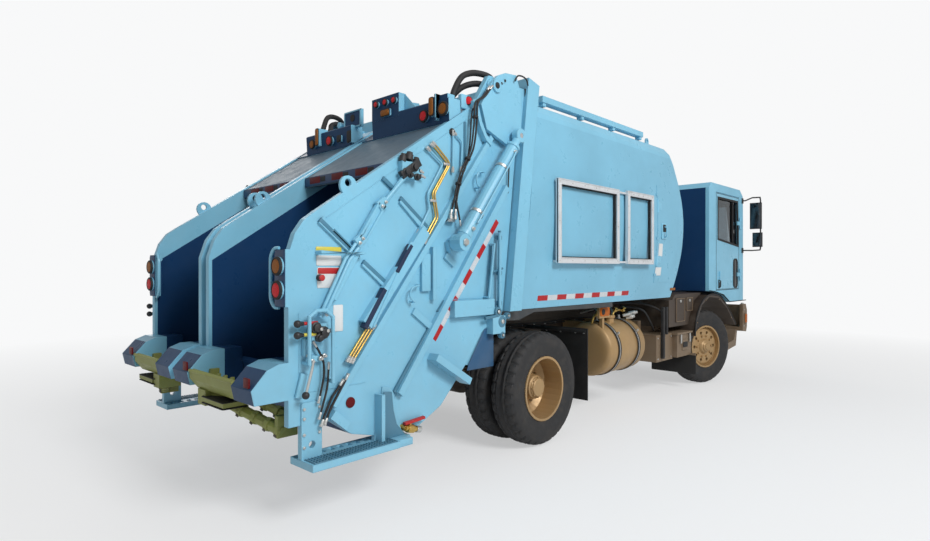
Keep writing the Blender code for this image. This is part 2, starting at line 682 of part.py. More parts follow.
def cab_inside(inset):
    """Side view of the cab's inside, with a raised floor over the wheels and a low one at the front."""
    outer = cab_outline(inset)
    step_x = 4.92
    return [(CAB_REAR + inset, SEAT_FLOOR)] + outer[1:7] + [(step_x, CAB_FLOOR + inset), (step_x, SEAT_FLOOR)]


def cab_block(inset):
    """Cab's outer or inner form: the side view across the width, with rounded front corners."""
    half = CAB_HALF - inset
    block = prism(cab_outline(inset) if inset == 0.0 else cab_inside(inset), "y", -half, half)
    front = CAB_FRONT - inset
    corner = 0.16
    plan = [(3.5, -half), (front - corner, -half)]
    plan += [(x, y) for x, y in arc((front - corner, -half + corner), corner, -60, -15, 2)]
    plan += [(x, y) for x, y in arc((front - corner, half - corner), corner, 15, 60, 2)]
    plan += [(front - corner, half), (3.5, half)]
    return overlap(block, prism(plan, "z", 0.5, 3.5))


DOOR_WINDOW = [(4.32, WINDOW_LOW), (4.32, WINDOW_TOP), (5.14, WINDOW_TOP), (5.18, WINDOW_LOW - 0.08)]
LOOKDOWN_WINDOW = [(4.99, 1.36), (5.06, 1.36), (5.09, 1.42), (5.09, 1.72), (5.06, 1.78), (4.99, 1.78),
                   (4.96, 1.72), (4.96, 1.42)]


def cab_shell():
    """Hollow cab with its door openings and windscreen cut, and the door hinge lugs."""
    cab = cut(cab_block(0.0), cab_block(CAB_WALL))
    for side in (RIGHT, LEFT):
        opening = [(DOOR_REAR, DOOR_LOW), (DOOR_REAR, DOOR_TOP), (DOOR_FRONT, DOOR_TOP),
                   (DOOR_FRONT, DOOR_LOW)]
        cut(cab, prism(opening, "y", side * (CAB_HALF - 0.10), side * (CAB_HALF + 0.10)))
    screen = [(-SCREEN_HALF, SCREEN_LOW), (SCREEN_HALF, SCREEN_LOW), (SCREEN_HALF - 0.04, SCREEN_TOP),
              (-SCREEN_HALF + 0.04, SCREEN_TOP)]
    cut(cab, prism(screen, "x", CAB_FRONT - 0.35, CAB_FRONT + 0.2))
    parts = []
    for side in (RIGHT, LEFT):
        for z in DOOR_HINGE_LEVELS:
            for low, high in ((z - 0.09, z - 0.03 - GAP), (z + 0.03 + GAP, z + 0.09)):
                parts.append(box(DOOR_FRONT + 0.001, DOOR_FRONT + 0.06, side * (CAB_HALF - 0.01),
                                 side * (CAB_HALF + 0.024), low, high))
                parts.append(disc("z", (DOOR_FRONT, side * HINGE_Y, (low + high) / 2), 0.012,
                                  (high - low) / 2, 8))
    # sun visor over the windscreen
    visor_half = CAB_HALF - 0.15
    visor = prism([(5.20, CAB_TOP - 0.02), (5.20, CAB_TOP + 0.03), (5.46, CAB_TOP - 0.02), (5.44, CAB_TOP - 0.08)],
                  "y", -visor_half, visor_half)
    parts.append(visor)
    mounts = [box(x, x + 0.14, side * 0.36, side * 0.42, RAIL_TOP + GAP, CAB_FLOOR + 0.02)
              for side in (RIGHT, LEFT) for x in (5.25,)]
    rear = [box(4.02, 4.14, side * 0.36, side * 0.42, RAIL_TOP + GAP, ARCH_TOP + 0.03)
            for side in (RIGHT, LEFT)]
    return node(join(cab, *parts, *mounts, *rear), "cab_shell", "body_blue")


def windshield():
    """Flat glass in the opening of the raked front."""
    rake = CAB_RAKE / (CAB_TOP - 0.10 - CAB_BELT)
    low, high = SCREEN_LOW + GAP, SCREEN_TOP - GAP
    x_low = CAB_FRONT - rake * (low - CAB_BELT) - 0.022
    x_high = CAB_FRONT - rake * (high - CAB_BELT) - 0.022
    outline = [(x_low, low), (x_high, high), (x_high - 0.008, high), (x_low - 0.008, low)]
    return node(prism(outline, "y", -SCREEN_HALF + 0.05, SCREEN_HALF - 0.05), "windshield", "glass_grey")


def cab_door(side):
    """Door as thick as the cab's wall, hinged at its front edge, with both windows cut."""
    g = DOOR_GAP
    outline = [(DOOR_REAR + g, DOOR_LOW + g), (DOOR_REAR + g, DOOR_TOP - g), (DOOR_FRONT - g, DOOR_TOP - g),
               (DOOR_FRONT - g, DOOR_LOW + g)]
    door = prism(outline, "y", side * (CAB_HALF - DOOR_THICK), side * CAB_HALF)
    for hole in (DOOR_WINDOW, LOOKDOWN_WINDOW):
        cut(door, prism(hole, "y", side * (CAB_HALF - 0.1), side * (CAB_HALF + 0.1)))
    hinge = (DOOR_FRONT, side * HINGE_Y, 0)
    for z in DOOR_HINGE_LEVELS:
        leaf = box(DOOR_FRONT - 0.10, DOOR_FRONT - 0.001, side * (CAB_HALF - 0.004),
                   side * (CAB_HALF + 0.014), z - 0.03, z + 0.03)
        join(door, leaf, disc("z", (hinge[0], hinge[1], z), 0.012, 0.03, 8))
    join(door, box(4.36, 4.385, side * (CAB_HALF - 0.01), side * (CAB_HALF + 0.02), 1.44, 1.60))
    node(door, f"cab_door_{SIDE_NAMES[side]}", "body_blue", hinge)
    inset = [(4.32 + GAP, WINDOW_LOW), (4.32 + GAP, WINDOW_TOP - GAP), (5.14 - GAP, WINDOW_TOP - GAP),
             (5.18 - GAP, WINDOW_LOW - 0.08 + GAP)]
    pane = prism(inset, "y", side * (CAB_HALF - 0.032), side * (CAB_HALF - 0.022))
    node(pane, f"cab_window_{SIDE_NAMES[side]}", "glass_grey", hinge)


def dashboard():
    """Dash across the cab with the steering column and wheel on the left, and the engine cover."""
    reach = CAB_HALF - CAB_WALL - GAP
    dash = box(5.05, 5.40, -reach + 0.05, reach - 0.05, 1.55, 1.86)
    ends = box(DOOR_FRONT + 0.03, DOOR_FRONT + 0.11, -reach, reach, 1.60, 1.80)
    cover = box(4.30, 5.10, -0.33, 0.33, SEAT_FLOOR + GAP, 1.62)
    column = rod((5.15, 0.62, 1.80), (4.90, 0.62, 2.02), 0.03)
    wheel = lathe([(-0.012, 0.205), (0.012, 0.205), (0.012, 0.23), (-0.012, 0.23)], "z",
                  (0, 0, 0), 16, ring=True)
    spoke = box(-0.215, 0.215, -0.02, 0.02, -0.01, 0.01)
    spoke2 = box(-0.02, 0.02, -0.215, 0.215, -0.01, 0.01)
    join(wheel, spoke, spoke2)
    wheel.data.transform(Matrix.Translation((4.90, 0.62, 2.02)) @ Matrix.Rotation(math.radians(-48), 4, "Y"))
    return node(join(dash, ends, cover, column, wheel), "dashboard", "trim_black")


def seat(side):
    """Bucket seat on its pedestal."""
    y = side * 0.70
    outline = [(4.42, SEAT_FLOOR + GAP), (4.72, SEAT_FLOOR + GAP), (4.72, 1.56),
               (4.86, 1.60), (4.86, 1.70), (4.44, 1.70), (4.36, SEAT_TOP), (4.24, SEAT_TOP), (4.30, 1.58),
               (4.42, 1.56)]
    return node(prism(outline, "y", y - 0.24, y + 0.24), f"seat_{SIDE_NAMES[side]}", "seat_grey")


def mirror(side):
    """Tall flat mirror over a small convex one, on a bent tube with two feet on the cab's side."""
    foot_y = side * (CAB_HALF + GAP)
    near_y = side * (CAB_HALF + 0.05)
    bend_y = side * (CAB_HALF + 0.12)
    out_y = side * (CAB_HALF + 0.20)
    high = MIRROR_TOP - 0.06
    low = MIRROR_TOP - 0.85
    sink_y = side * (CAB_HALF + 0.006)
    arm = pipe([(5.36, sink_y, high), (5.36, near_y, high), (5.46, bend_y, high + 0.05), (5.58, out_y, MIRROR_TOP),
                (5.607, out_y, high + 0.01), (5.607, out_y, low + 0.04), (5.58, out_y, low + 0.01),
                (5.46, bend_y, low), (5.36, near_y, low), (5.36, sink_y, low)], 0.011)
    feet = [box(5.33, 5.39, foot_y, side * (CAB_HALF + 0.012), z - 0.04, z + 0.04) for z in (high, low)]
    tall = box(5.585, 5.63, side * (CAB_HALF + 0.045), side * (CAB_HALF + 0.215), low + 0.35, high - 0.02)
    small = box(5.585, 5.63, side * (CAB_HALF + 0.085), side * (CAB_HALF + 0.225), low + 0.06, low + 0.29)
    return node(join(arm, *feet, tall, small), f"mirror_{SIDE_NAMES[side]}", "trim_black")


# Load body

def side_half_width(z, shrink=0.0):
    """Half width of the crowned side at a height."""
    middle = (BODY_FLOOR_Z + BODY_TOP_Z) / 2
    reach = (BODY_TOP_Z - BODY_FLOOR_Z) / 2
    share = (z - middle) / reach
    return BODY_HALF + 0.015 - BODY_CROWN * share * share - shrink


def body_section(shrink):
    """Cross-section with crowned sides and rounded roof edges, moved inwards by shrink."""
    low = BODY_FLOOR_Z + shrink
    high = BODY_TOP_Z - shrink
    corner = BODY_CORNER
    right = []
    steps = 12
    for k in range(steps + 1):
        z = low + (high - corner - low) * k / steps
        right.append((side_half_width(z, shrink), z))
    top_y = right[-1][0]
    right += [(top_y - 0.03, high - 0.035), (top_y - corner, high)]
    return [(-y, z) for y, z in right] + [(y, z) for y, z in reversed(right)]


def body_front(inset):
    """Side view of the load body with the bulged front wall."""
    i = inset
    rear = -1.5 if inset else OPENING_X
    top_rear = -1.5 if inset else OPENING_X + (BODY_TOP_Z - BODY_FLOOR_Z) * LEAN
    front = [(2.69, 3.155), (2.79, 3.09), (2.86, 2.97), (2.90, 2.85), (2.965, 2.70), (3.03, 2.47), (3.06, 2.25),
             (3.055, 2.05), (3.03, 1.85), (2.99, 1.70), (2.94, 1.54)]
    return ([(rear, BODY_FLOOR_Z + i), (top_rear, BODY_TOP_Z - i), (2.54 - i, BODY_TOP_Z - i)]
            + [(x - i, min(z, BODY_TOP_Z - i - 0.01)) for x, z in front] + [(2.845 - i, BODY_FLOOR_Z + i)])


def rear_post(side):
    """Flat post of the rear opening, leaning forwards."""
    z0, z1 = BODY_FLOOR_Z, HEADER_TOP
    outline = [(OPENING_X, z0), (OPENING_X + (z1 - z0) * LEAN, z1),
               (OPENING_X + (z1 - z0) * LEAN + POST_DEPTH, z1 - 0.04),
               (OPENING_X + POST_DEPTH, z0)]
    return prism(outline, "y", side * (BODY_HALF - 0.10), side * POST_HALF)


def hinge_ear(y0, y1):
    """Plate on the rear frame that reaches back to the tailgate's hinge."""
    outline = [(-0.89, 2.98), (-0.75, 3.20), (-0.67, 3.27), (-0.58, 3.31), (-0.43, 3.325), (-0.36, 3.16),
               (-0.36, 2.84), (-0.42, 2.73), (-0.54, 2.694), (-0.82, 2.79)]
    return prism(outline, "y", y0, y1)


def ear_web(y0, y1):
    """Set-back plate that joins the ear to the post and leaves a channel for the hoses between them."""
    return prism([(-0.46, 2.76), (-0.46, 3.24), (-0.22, 3.24), (-0.22, 2.76)], "y", y0, y1)


def body_shell():
    """Split load body: two hollow compartments open at the rear, with the frame that holds the tailgates."""
    shell = overlap(prism(body_front(0.0), "y", -2, 2), prism(body_section(0.0), "x", -2, 4))
    hollow = overlap(prism(body_front(BODY_WALL), "y", -2, 2), prism(body_section(BODY_WALL), "x", -2, 4))
    cut(hollow, box(-2.5, 3.5, SPLIT_Y - 0.03, SPLIT_Y + 0.03, 1, 3.5))
    cut(shell, hollow)
    parts = [rear_post(RIGHT), rear_post(LEFT)]
    header_x = OPENING_X + (BODY_TOP_Z - BODY_FLOOR_Z) * LEAN
    header = [(header_x - 0.01, BODY_TOP_Z - 0.07), (header_x + 0.02, HEADER_TOP), (header_x + 0.16, HEADER_TOP - 0.04),
              (header_x + 0.18, BODY_TOP_Z - 0.07)]
    parts.append(prism(header, "y", -POST_HALF + 0.01, POST_HALF - 0.01))
    for side in (RIGHT, LEFT):
        ear = hinge_ear(side * EAR_IN, side * EAR_OUT)
        join(ear, disc("y", (HINGE[0], side * (EAR_OUT + 0.005), HINGE[1]), 0.055, 0.012, 14))
        stub_end = LIFT_Y - EYE_HALF - GAP
        join(ear, disc("y", (LIFT_TOP[0], side * (EAR_OUT - 0.01 + stub_end) / 2, LIFT_TOP[1]), 0.03,
                       (stub_end - EAR_OUT + 0.01) / 2, 12))
        parts.append(join(ear, ear_web(side * (SHELL_HALF + MOVE_GAP), side * (EAR_IN + 0.012))))
    middle_ear = hinge_ear(SPLIT_Y - 0.02, SPLIT_Y + 0.02)
    parts.append(join(middle_ear, ear_web(SPLIT_Y - 0.02, SPLIT_Y + 0.02)))
    # access doors in the sides, their hinges, and lifting eyes at the roof's front corners
    for side in (RIGHT, LEFT):
        levels = [1.50 + 0.14 * k for k in range(9)]
        door = prism([(side * (side_half_width(z) + 0.006), z) for z in levels]
                     + [(side * (side_half_width(z) - 0.04), z) for z in reversed(levels)], "x", 2.32, 2.84)
        pins = [rod((2.315, side * side_half_width(z), z - 0.06), (2.315, side * side_half_width(z), z + 0.06), 0.012, 8)
                for z in (1.75, 2.40)]
        eye = join(box(2.36, 2.44, side * 1.02, side * 1.035, BODY_TOP_Z - 0.02, BODY_TOP_Z + 0.03),
                   disc("y", (2.40, side * 1.0275, BODY_TOP_Z + 0.035), 0.04, 0.0075, 14))
        cut(eye, disc("y", (2.40, side * 1.0275, BODY_TOP_Z + 0.04), 0.018, 0.05, 10))
        parts += [door, eye] + pins
    return node(join(shell, *parts), "body_shell", "body_blue")


def skirt(side):
    """Dark valance along the lower edge of the body over the rear wheels."""
    outline = [(-0.53, BODY_FLOOR_Z - GAP), (-0.56, 1.185), (-0.296, 1.175), (-0.074, 1.235), (1.38, 1.215),
               (1.38, BODY_FLOOR_Z - GAP)]
    return node(prism(outline, "y", side * 1.07, side * 1.125), f"skirt_{SIDE_NAMES[side]}", "skirt_grey")


POSTER_FRAMES = [
    # x from, x to, z from, z to
    (0.12, 1.28, 1.69, 2.49),
    (1.465, 2.10, 1.69, 2.50),
]


def poster_frames(side):
    """Two flat frames on the crowned side, on stand-off bars."""
    inner, outer, border = 1.235, 1.262, 0.055
    pieces = []
    for x0, x1, z0, z1 in POSTER_FRAMES:
        frame = box(x0, x1, side * inner, side * outer, z0, z1)
        cut(frame, box(x0 + border, x1 - border, side * 1.2, side * 1.3, z0 + border, z1 - border))
        pieces.append(frame)
    first = pieces.pop(0)
    x0 = POSTER_FRAMES[0][0] + 0.02
    x1 = POSTER_FRAMES[1][1] - 0.02
    for z in (1.70, 2.46):
        low = side_half_width(z) + GAP
        high = side_half_width(z + 0.02) + GAP
        pieces.append(prism([(side * low, z), (side * high, z + 0.02), (side * (inner + 0.004), z + 0.02),
                             (side * (inner + 0.004), z)], "x", x0, x1))
    return node(join(first, *pieces), f"poster_frames_{SIDE_NAMES[side]}", "aluminium")


def hose_channel():
    """Raised channel for the hydraulic lines along the right edge of the roof."""
    channel = box(0.10, 2.16, -1.10, -1.02, 3.225, 3.285)
    feet = [box(x, x + 0.05, -1.09, -1.03, BODY_TOP_Z + GAP, 3.24) for x in (0.12, 0.8, 1.45, 2.09)]
    return node(join(channel, *feet), "hose_channel", "body_blue")


# Tailgates

def on_slope(x, drop=0.0):
    """Point of the tailgate's upper edge at x, moved inwards by drop."""
    dx = SLOPE_HIGH[0] - SLOPE_LOW[0]
    dz = SLOPE_HIGH[1] - SLOPE_LOW[1]
    length = math.hypot(dx, dz)
    z = SLOPE_LOW[1] + (x - SLOPE_LOW[0]) * dz / dx
    return (x + drop * dz / length, z - drop * dx / length)


def seal_x(z):
    """Front edge of the tailgate, parallel to the rear opening."""
    return OPENING_X - SEAL_GAP + (z - BODY_FLOOR_Z) * LEAN


HOPPER_CURVE = [(-2.134, 0.531), (-1.893, 0.469), (-1.523, 0.472), (-1.30, 0.581), (-1.018, 0.865),
                (-0.822, 1.111)]


def side_plate_outline():
    """Side view of a tailgate's side plate, clockwise from the rear foot."""
    points = [(-2.32, 0.66), (TAIL_REAR, 0.66), (TAIL_REAR, 1.72), (-2.555, 1.855), (-2.490, 1.945), SLOPE_LOW,
              SLOPE_HIGH]
    points += arc(HINGE, 0.10, 110, 20, 3)
    points += [(seal_x(3.04), 3.04), (seal_x(BODY_FLOOR_Z), BODY_FLOOR_Z)]
    points += list(reversed(HOPPER_CURVE))
    return points


def hopper_floor_outline():
    """Curved floor from the sill to the body, as a plate."""
    lower = [(SILL_X, SILL_Z)] + HOPPER_CURVE + [(seal_x(BODY_FLOOR_Z), BODY_FLOOR_Z)]
    upper = []
    for i, (x, z) in enumerate(lower):
        before = Vector(lower[max(i - 1, 0)])
        after = Vector(lower[min(i + 1, len(lower) - 1)])
        along = (after - before).normalized()
        upper.append((x - along.y * HOPPER_FLOOR, z + along.x * HOPPER_FLOOR))
    return lower + list(reversed(upper))


TAILGATES = [
    # side, name, outer face, inner face
    (RIGHT, "right", -SHELL_HALF, SPLIT_Y - TAIL_GAP),
    (LEFT, "left", SHELL_HALF, SPLIT_Y + TAIL_GAP),
]

SIDE_RIBS = [
    # from x, z to x, z, width, proud
    ((-0.733, 2.740), (-2.30, 0.75), 0.045, 0.040),
    ((-0.531, 2.341), (-1.739, 0.739), 0.055, 0.045),
    ((-1.502, 1.920), (-2.043, 1.259), 0.09, 0.060),
    ((-1.20, 1.32), (-0.72, 1.32), 0.13, 0.055),
    ((-1.40, 1.80), (-1.40, 1.40), 0.035, 0.040),
    ((-1.43, 0.975), (-1.06, 0.745), 0.055, 0.100),
    ((-2.31, 0.70), (-2.19, 0.60), 0.06, 0.050),
    ((-2.381, 1.949), (-2.133, 1.750), 0.05, 0.02),
    ((-1.713, 2.132), (-1.468, 1.925), 0.05, 0.02),
    ((-2.045, 1.679), (-1.828, 1.504), 0.05, 0.02),
    ((-1.261, 1.741), (-1.16, 1.67), 0.05, 0.02),
    ((-1.593, 1.328), (-1.42, 1.20), 0.05, 0.02),
]


GUSSET = [(-1.96, 0.42), (-1.645, 0.42), (-1.70, 0.47), (-1.735, 0.53), (-1.757, 0.60), (-1.78, 0.76),
          (-1.82, 0.80), (-1.88, 0.81)]
LAMP_LEVELS = (1.652, 1.505)     # amber over red, on the rear edge of the outer side plate


def rear_step(side):
    """Riding step hung under the tailgate's rear corner, its tread cut through in slots."""
    plate = box(-2.52, -1.83, side * STEP_IN, side * STEP_OUT, STEP_Z - 0.045, STEP_Z)
    for k in range(9):
        x = -2.47 + 0.068 * k
        cut(plate, box(x, x + 0.036, side * (STEP_IN + 0.02), side * (SHELL_HALF - 0.04), 0.3, 0.6),
            box(x, x + 0.036, side * (SHELL_HALF + 0.03), side * (STEP_OUT - 0.02), 0.3, 0.6))
    hanger = box(-2.517, -2.37, side * (SHELL_HALF - 0.03), side * (SHELL_HALF + 0.012), 0.42, 0.80)
    cut(hanger, disc("y", (-2.442, side * SHELL_HALF, 0.53), 0.024, 0.1, 12))
    gusset = prism(GUSSET, "y", side * (SHELL_HALF - 0.02), side * (SHELL_HALF + 0.012))
    web = box(-1.94, -1.91, side * (SHELL_HALF - 0.01), side * (SHELL_HALF + 0.08), 0.42, 0.77)
    foot = box(-1.93, -1.66, side * (SHELL_HALF - 0.045), side * (SHELL_HALF + 0.055), 0.40, 0.44)
    return [plate, hanger, gusset, web, foot]


def lifting_ear(y0, y1):
    """Eye on the upper edge of a side plate."""
    middle = (y0 + y1) / 2
    half = abs(y1 - y0) / 2
    ear = disc("y", (-2.155, middle, 2.19), 0.068, half, 16)
    return cut(ear, disc("y", (-2.16, middle, 2.21), 0.026, half + 0.01, 12))


def hinge_gusset(side):
    """Curved stiffener on the side plate round the hinge ear: (angle, radius) pairs from the hinge."""
    inner = [(212, 0.29), (228, 0.31), (242, 0.37), (255, 0.44), (264, 0.47)]
    outline = []
    for rim, thick in ((inner, 0.0), (list(reversed(inner)), 0.045)):
        for angle, radius in rim:
            turn = math.radians(angle)
            outline.append((HINGE[0] + (radius + thick) * math.cos(turn), HINGE[1] + (radius + thick) * math.sin(turn)))
    return prism(outline, "y", side * (SHELL_HALF - 0.01), side * (SHELL_HALF + 0.05))


def side_fittings(side):
    """Lamp housing, handles, guard hoop, locking screw, drain pan and hose conduits on the outer side plate."""
    out = side * SHELL_HALF
    into = side * (SHELL_HALF - 0.02)
    proud = side * (SHELL_HALF + 0.06)
    far = side * (SHELL_HALF + 0.075)
    lamps = [box(TAIL_REAR - 0.02, TAIL_REAR + 0.04, side * (SHELL_HALF - 0.125), out, 1.40, 1.755)]
    for z in LAMP_LEVELS:
        lamps.append(disc("x", (TAIL_REAR - 0.025, side * (SHELL_HALF - 0.063), z), 0.058, 0.018, 16))
    handles = [pipe([(-2.40, into, 1.74), (-2.40, proud, 1.74), (-2.08, proud, 1.74), (-2.08, into, 1.74)], 0.014),
               pipe([(-2.50, into, 1.05), (-2.50, far, 1.05), (-2.50, far, 1.34), (-2.45, far, 1.375),
                     (-2.38, far, 1.375), (-2.33, far, 1.33), (-2.33, far, 0.92), (-2.33, into, 0.92)], 0.013)]
    screw = [pipe([(-0.66, into, 1.93), (-0.66, proud, 1.93), (-0.66, proud, 1.30), (-0.66, into, 1.30)], 0.014),
             pipe([(-0.73, into, 1.84), (-0.73, proud, 1.84), (-0.80, proud, 1.40), (-0.80, into, 1.40)], 0.010),
             box(-0.76, -0.60, into, side * (SHELL_HALF + 0.07), 1.09, 1.24)]
    pan = [prism([(-1.03, 0.86), (-0.69, 0.815), (-0.66, 1.03), (-0.72, 1.16), (-0.84, 1.13)], "y",
                 side * (SHELL_HALF - 0.20), side * (SHELL_HALF - 0.01))]
    valve = [box(-1.73, -1.57, into, side * (SHELL_HALF + 0.05), 2.29, 2.41),
             box(-2.47, -2.36, into, side * (SHELL_HALF + 0.055), 1.19, 1.29)]
    link = [rod((-1.70, side * (SHELL_HALF + 0.03), 2.30), (-1.90, side * (SHELL_HALF + 0.03), 2.06), 0.016, 8),
            bar((-1.89, 2.10), (-2.30, 1.44), 0.045, into, side * (SHELL_HALF + 0.04))]
    lug = [bar((-1.25, 1.80), (-1.07, 1.86), 0.09, into, side * (SHELL_HALF + 0.05))]
    return lamps + handles + screw + pan + valve + link + lug


BEAMS = {
    # side: (y from, y to)
    RIGHT: (-1.13, -0.16),
    LEFT: (0.16, 0.93),
}
BEAM_LAMPS = {
    # side: (y, z, radius) of the round lamps on the beam's rear face
    RIGHT: [(-0.864, 2.88, 0.045), (-1.09, 2.90, 0.047), (-0.245, 3.092, 0.028), (-0.369, 3.09, 0.028),
            (-0.487, 3.087, 0.028)],
    LEFT: [(0.486, 2.882, 0.045), (0.787, 2.891, 0.043)],
}
BEAM_BOXES = {
    # side: (y from, y to, z from, z to, how far it stands back from the rear face)
    RIGHT: [(-0.53, -0.16, 2.95, 3.15, 0.0), (-0.43, -0.31, 2.968, 3.028, -0.018), (-0.99, -0.945, 2.86, 3.01, -0.03),
            (-1.02, -1.00, 2.82, 3.03, -0.03), (-1.12, -1.03, 2.98, 3.02, 0.0)],
    LEFT: [(0.07, 0.335, 2.97, 3.135, 0.05), (0.30, 0.365, 2.85, 2.91, -0.012), (0.20, 0.14, 2.82, 2.93, -0.012),
           (0.66, 0.705, 2.86, 3.03, -0.03)],
}


def lamp_beam(side):
    """Upright beam across the roof's upper edge with its lamp boxes and lamps."""
    face = ROOF_FRONT_X + GAP
    y0, y1 = BEAMS[side]
    foot = on_slope(face, 0.02)
    outline = [foot, (face, BEAM_TOP - 0.01), (face + 0.01, BEAM_TOP), (face + BEAM_DEPTH, BEAM_TOP),
               on_slope(face + BEAM_DEPTH, 0.02)]
    parts = [prism(outline, "y", y0, y1)]
    for a, b, low, high, back in BEAM_BOXES[side]:
        parts.append(box(face + back, face + 0.08, a, b, low, high))
    for y, z, radius in BEAM_LAMPS[side]:
        parts.append(disc("x", (face - 0.005, y, z), radius, 0.015, 14))
    return parts


def tailgate_shell(side, name, outer, inner):
    """Two side plates, curved hopper floor, sill boxes, cover plate, lamp beam, ribs, fittings and step."""
    facing = 1 if inner > outer else -1
    shell = prism(side_plate_outline(), "y", outer, outer + facing * PLATE)
    parts = [prism(side_plate_outline(), "y", inner, inner - facing * PLATE)]
    a = outer + facing * 0.01
    b = inner - facing * 0.01
    parts.append(prism(hopper_floor_outline(), "y", a, b))
    # cover plate from the roof panel up to the hinge
    top = [on_slope(ROOF_FRONT_X, 0.003), on_slope(SLOPE_HIGH[0], 0.003), on_slope(SLOPE_HIGH[0], 0.04),
           on_slope(ROOF_FRONT_X, 0.04)]
    parts.append(prism(top, "y", a, b))
    parts += lamp_beam(side)
    parts.append(lifting_ear(outer, outer + facing * 0.02))
    parts.append(lifting_ear(inner - facing * 0.01, inner - facing * 0.03))
    parts.append(hinge_gusset(side))
    parts += side_fittings(side)
    # corner boxes behind the sill
    box_side = [(SILL_X + 0.02, 0.83), (REAR_END + 0.02, 0.83), (REAR_END, 0.92), (REAR_END + 0.10, 1.03),
                (REAR_END + 0.18, 1.06), (SILL_X + 0.02, 1.06)]
    parts.append(prism(box_side, "y", outer, outer + facing * BOX_WIDE))
    parts.append(prism(box_side, "y", inner, inner - facing * BOX_WIDE))
    for start, end, wide, proud in SIDE_RIBS:
        parts.append(bar(start, end, wide, outer + facing * 0.01, outer - facing * proud))
    parts += rear_step(side)
    # hinge bosses, outside against the ear and inside against the middle ear
    parts.append(disc("y", (HINGE[0], side * (SHELL_HALF - 0.02 + EAR_IN - GAP) / 2, HINGE[1]), 0.07,
                      (EAR_IN - GAP - SHELL_HALF + 0.02) / 2, 14))
    middle_face = SPLIT_Y + side * (0.02 + GAP)
    boss_y = (middle_face + inner + side * 0.02) / 2
    parts.append(disc("y", (HINGE[0], boss_y, HINGE[1]), 0.07, abs(inner + side * 0.02 - middle_face) / 2, 14))
    # lower pin of the lift cylinder
    pin_end = LIFT_Y - LIFT_RADIUS - GAP
    parts.append(disc("y", (LIFT_LOW[0], side * (SHELL_HALF - 0.02 + pin_end) / 2, LIFT_LOW[1]), 0.045,
                      (pin_end - SHELL_HALF + 0.02) / 2, 12))
    return node(join(shell, *parts), f"tailgate_{name}", "body_blue", (HINGE[0], 0, HINGE[1]))


def tailgate_roof(side, name, outer, inner):
    """Slate panel over the hopper, between the side plates, with its lower flange."""
    facing = 1 if inner > outer else -1
    a = outer + facing * (PLATE + GAP)
    b = inner - facing * (PLATE + GAP)
    low_edge = on_slope(ROOF_REAR_X, 0.012)
    outline = [low_edge, on_slope(ROOF_FRONT_X - GAP, 0.012), on_slope(ROOF_FRONT_X - GAP, 0.05),
               on_slope(ROOF_REAR_X + 0.03, 0.05), (low_edge[0] + 0.03, low_edge[1] - 0.08),
               (low_edge[0], low_edge[1] - 0.08)]
    panel = prism(outline, "y", a, b)
    return node(panel, f"tailgate_roof_{name}", "roof_slate", (HINGE[0], 0, HINGE[1]))


def packer(side, name, outer, inner):
    """Packer carriage that slides along its track inside the hopper."""
    facing = 1 if inner > outer else -1
    along = Vector(TRACK_DIR).normalized()
    across = Vector((-along.y, along.x))
    pin = Vector(SWEEP_PIN)
    base = pin + along * 0.10
    top = base + along * PACKER_LENGTH
    half = PACKER_THICK / 2
    outline = [base + across * half, top + across * half, top - across * half, base - across * half]
    a = outer + facing * (PLATE + MOVE_GAP)
    b = inner - facing * (PLATE + MOVE_GAP)
    plate = prism([tuple(p) for p in outline], "y", a, b)
    parts = []
    for face, inward in ((outer, facing), (inner, -facing)):
        y0 = face + inward * (PLATE + GAP)
        shoe0 = base + along * 0.20
        shoe1 = base + along * 0.44
        parts.append(bar(tuple(shoe0), tuple(shoe1), 0.05, y0, y0 + inward * 0.03))
        # lug beside the sweep's pivot
        lug = y0 + inward * MOVE_GAP
        parts.append(bar(tuple(pin - along * 0.03), tuple(base + along * 0.05), 0.08, lug, lug + inward * 0.03))
    return node(join(plate, *parts), f"packer_{name}", "deep_blue", (pin.x, 0, pin.y))


def sweep(side, name, outer, inner):
    """Sweep blade hinged under the packer carriage, hanging towards the body at rest."""
    facing = 1 if inner > outer else -1
    angle = math.radians(SWEEP_REST_DEG)
    along = Vector((math.cos(angle), math.sin(angle)))
    across = Vector((-along.y, along.x))
    pin = Vector(SWEEP_PIN)
    half = SWEEP_THICK / 2
    tip = pin + along * SWEEP_LENGTH
    outline = [pin + across * half, tip + across * half * 0.4 - along * 0.02, tip, tip - across * half - along * 0.06,
               pin + along * 0.3 - across * (half + 0.04), pin - across * half]
    a = outer + facing * (PLATE + MOVE_GAP)
    b = inner - facing * (PLATE + MOVE_GAP)
    lug_room = 0.0303 + GAP
    blade = prism([tuple(p) for p in outline], "y", a + facing * lug_room, b - facing * lug_room)
    barrel = lathe([(a + facing * lug_room, 0.055), (b - facing * lug_room, 0.055)], "y", (pin.x, 0, pin.y), 16)
    return node(join(blade, barrel), f"sweep_{name}", "deep_blue", (pin.x, 0, pin.y))


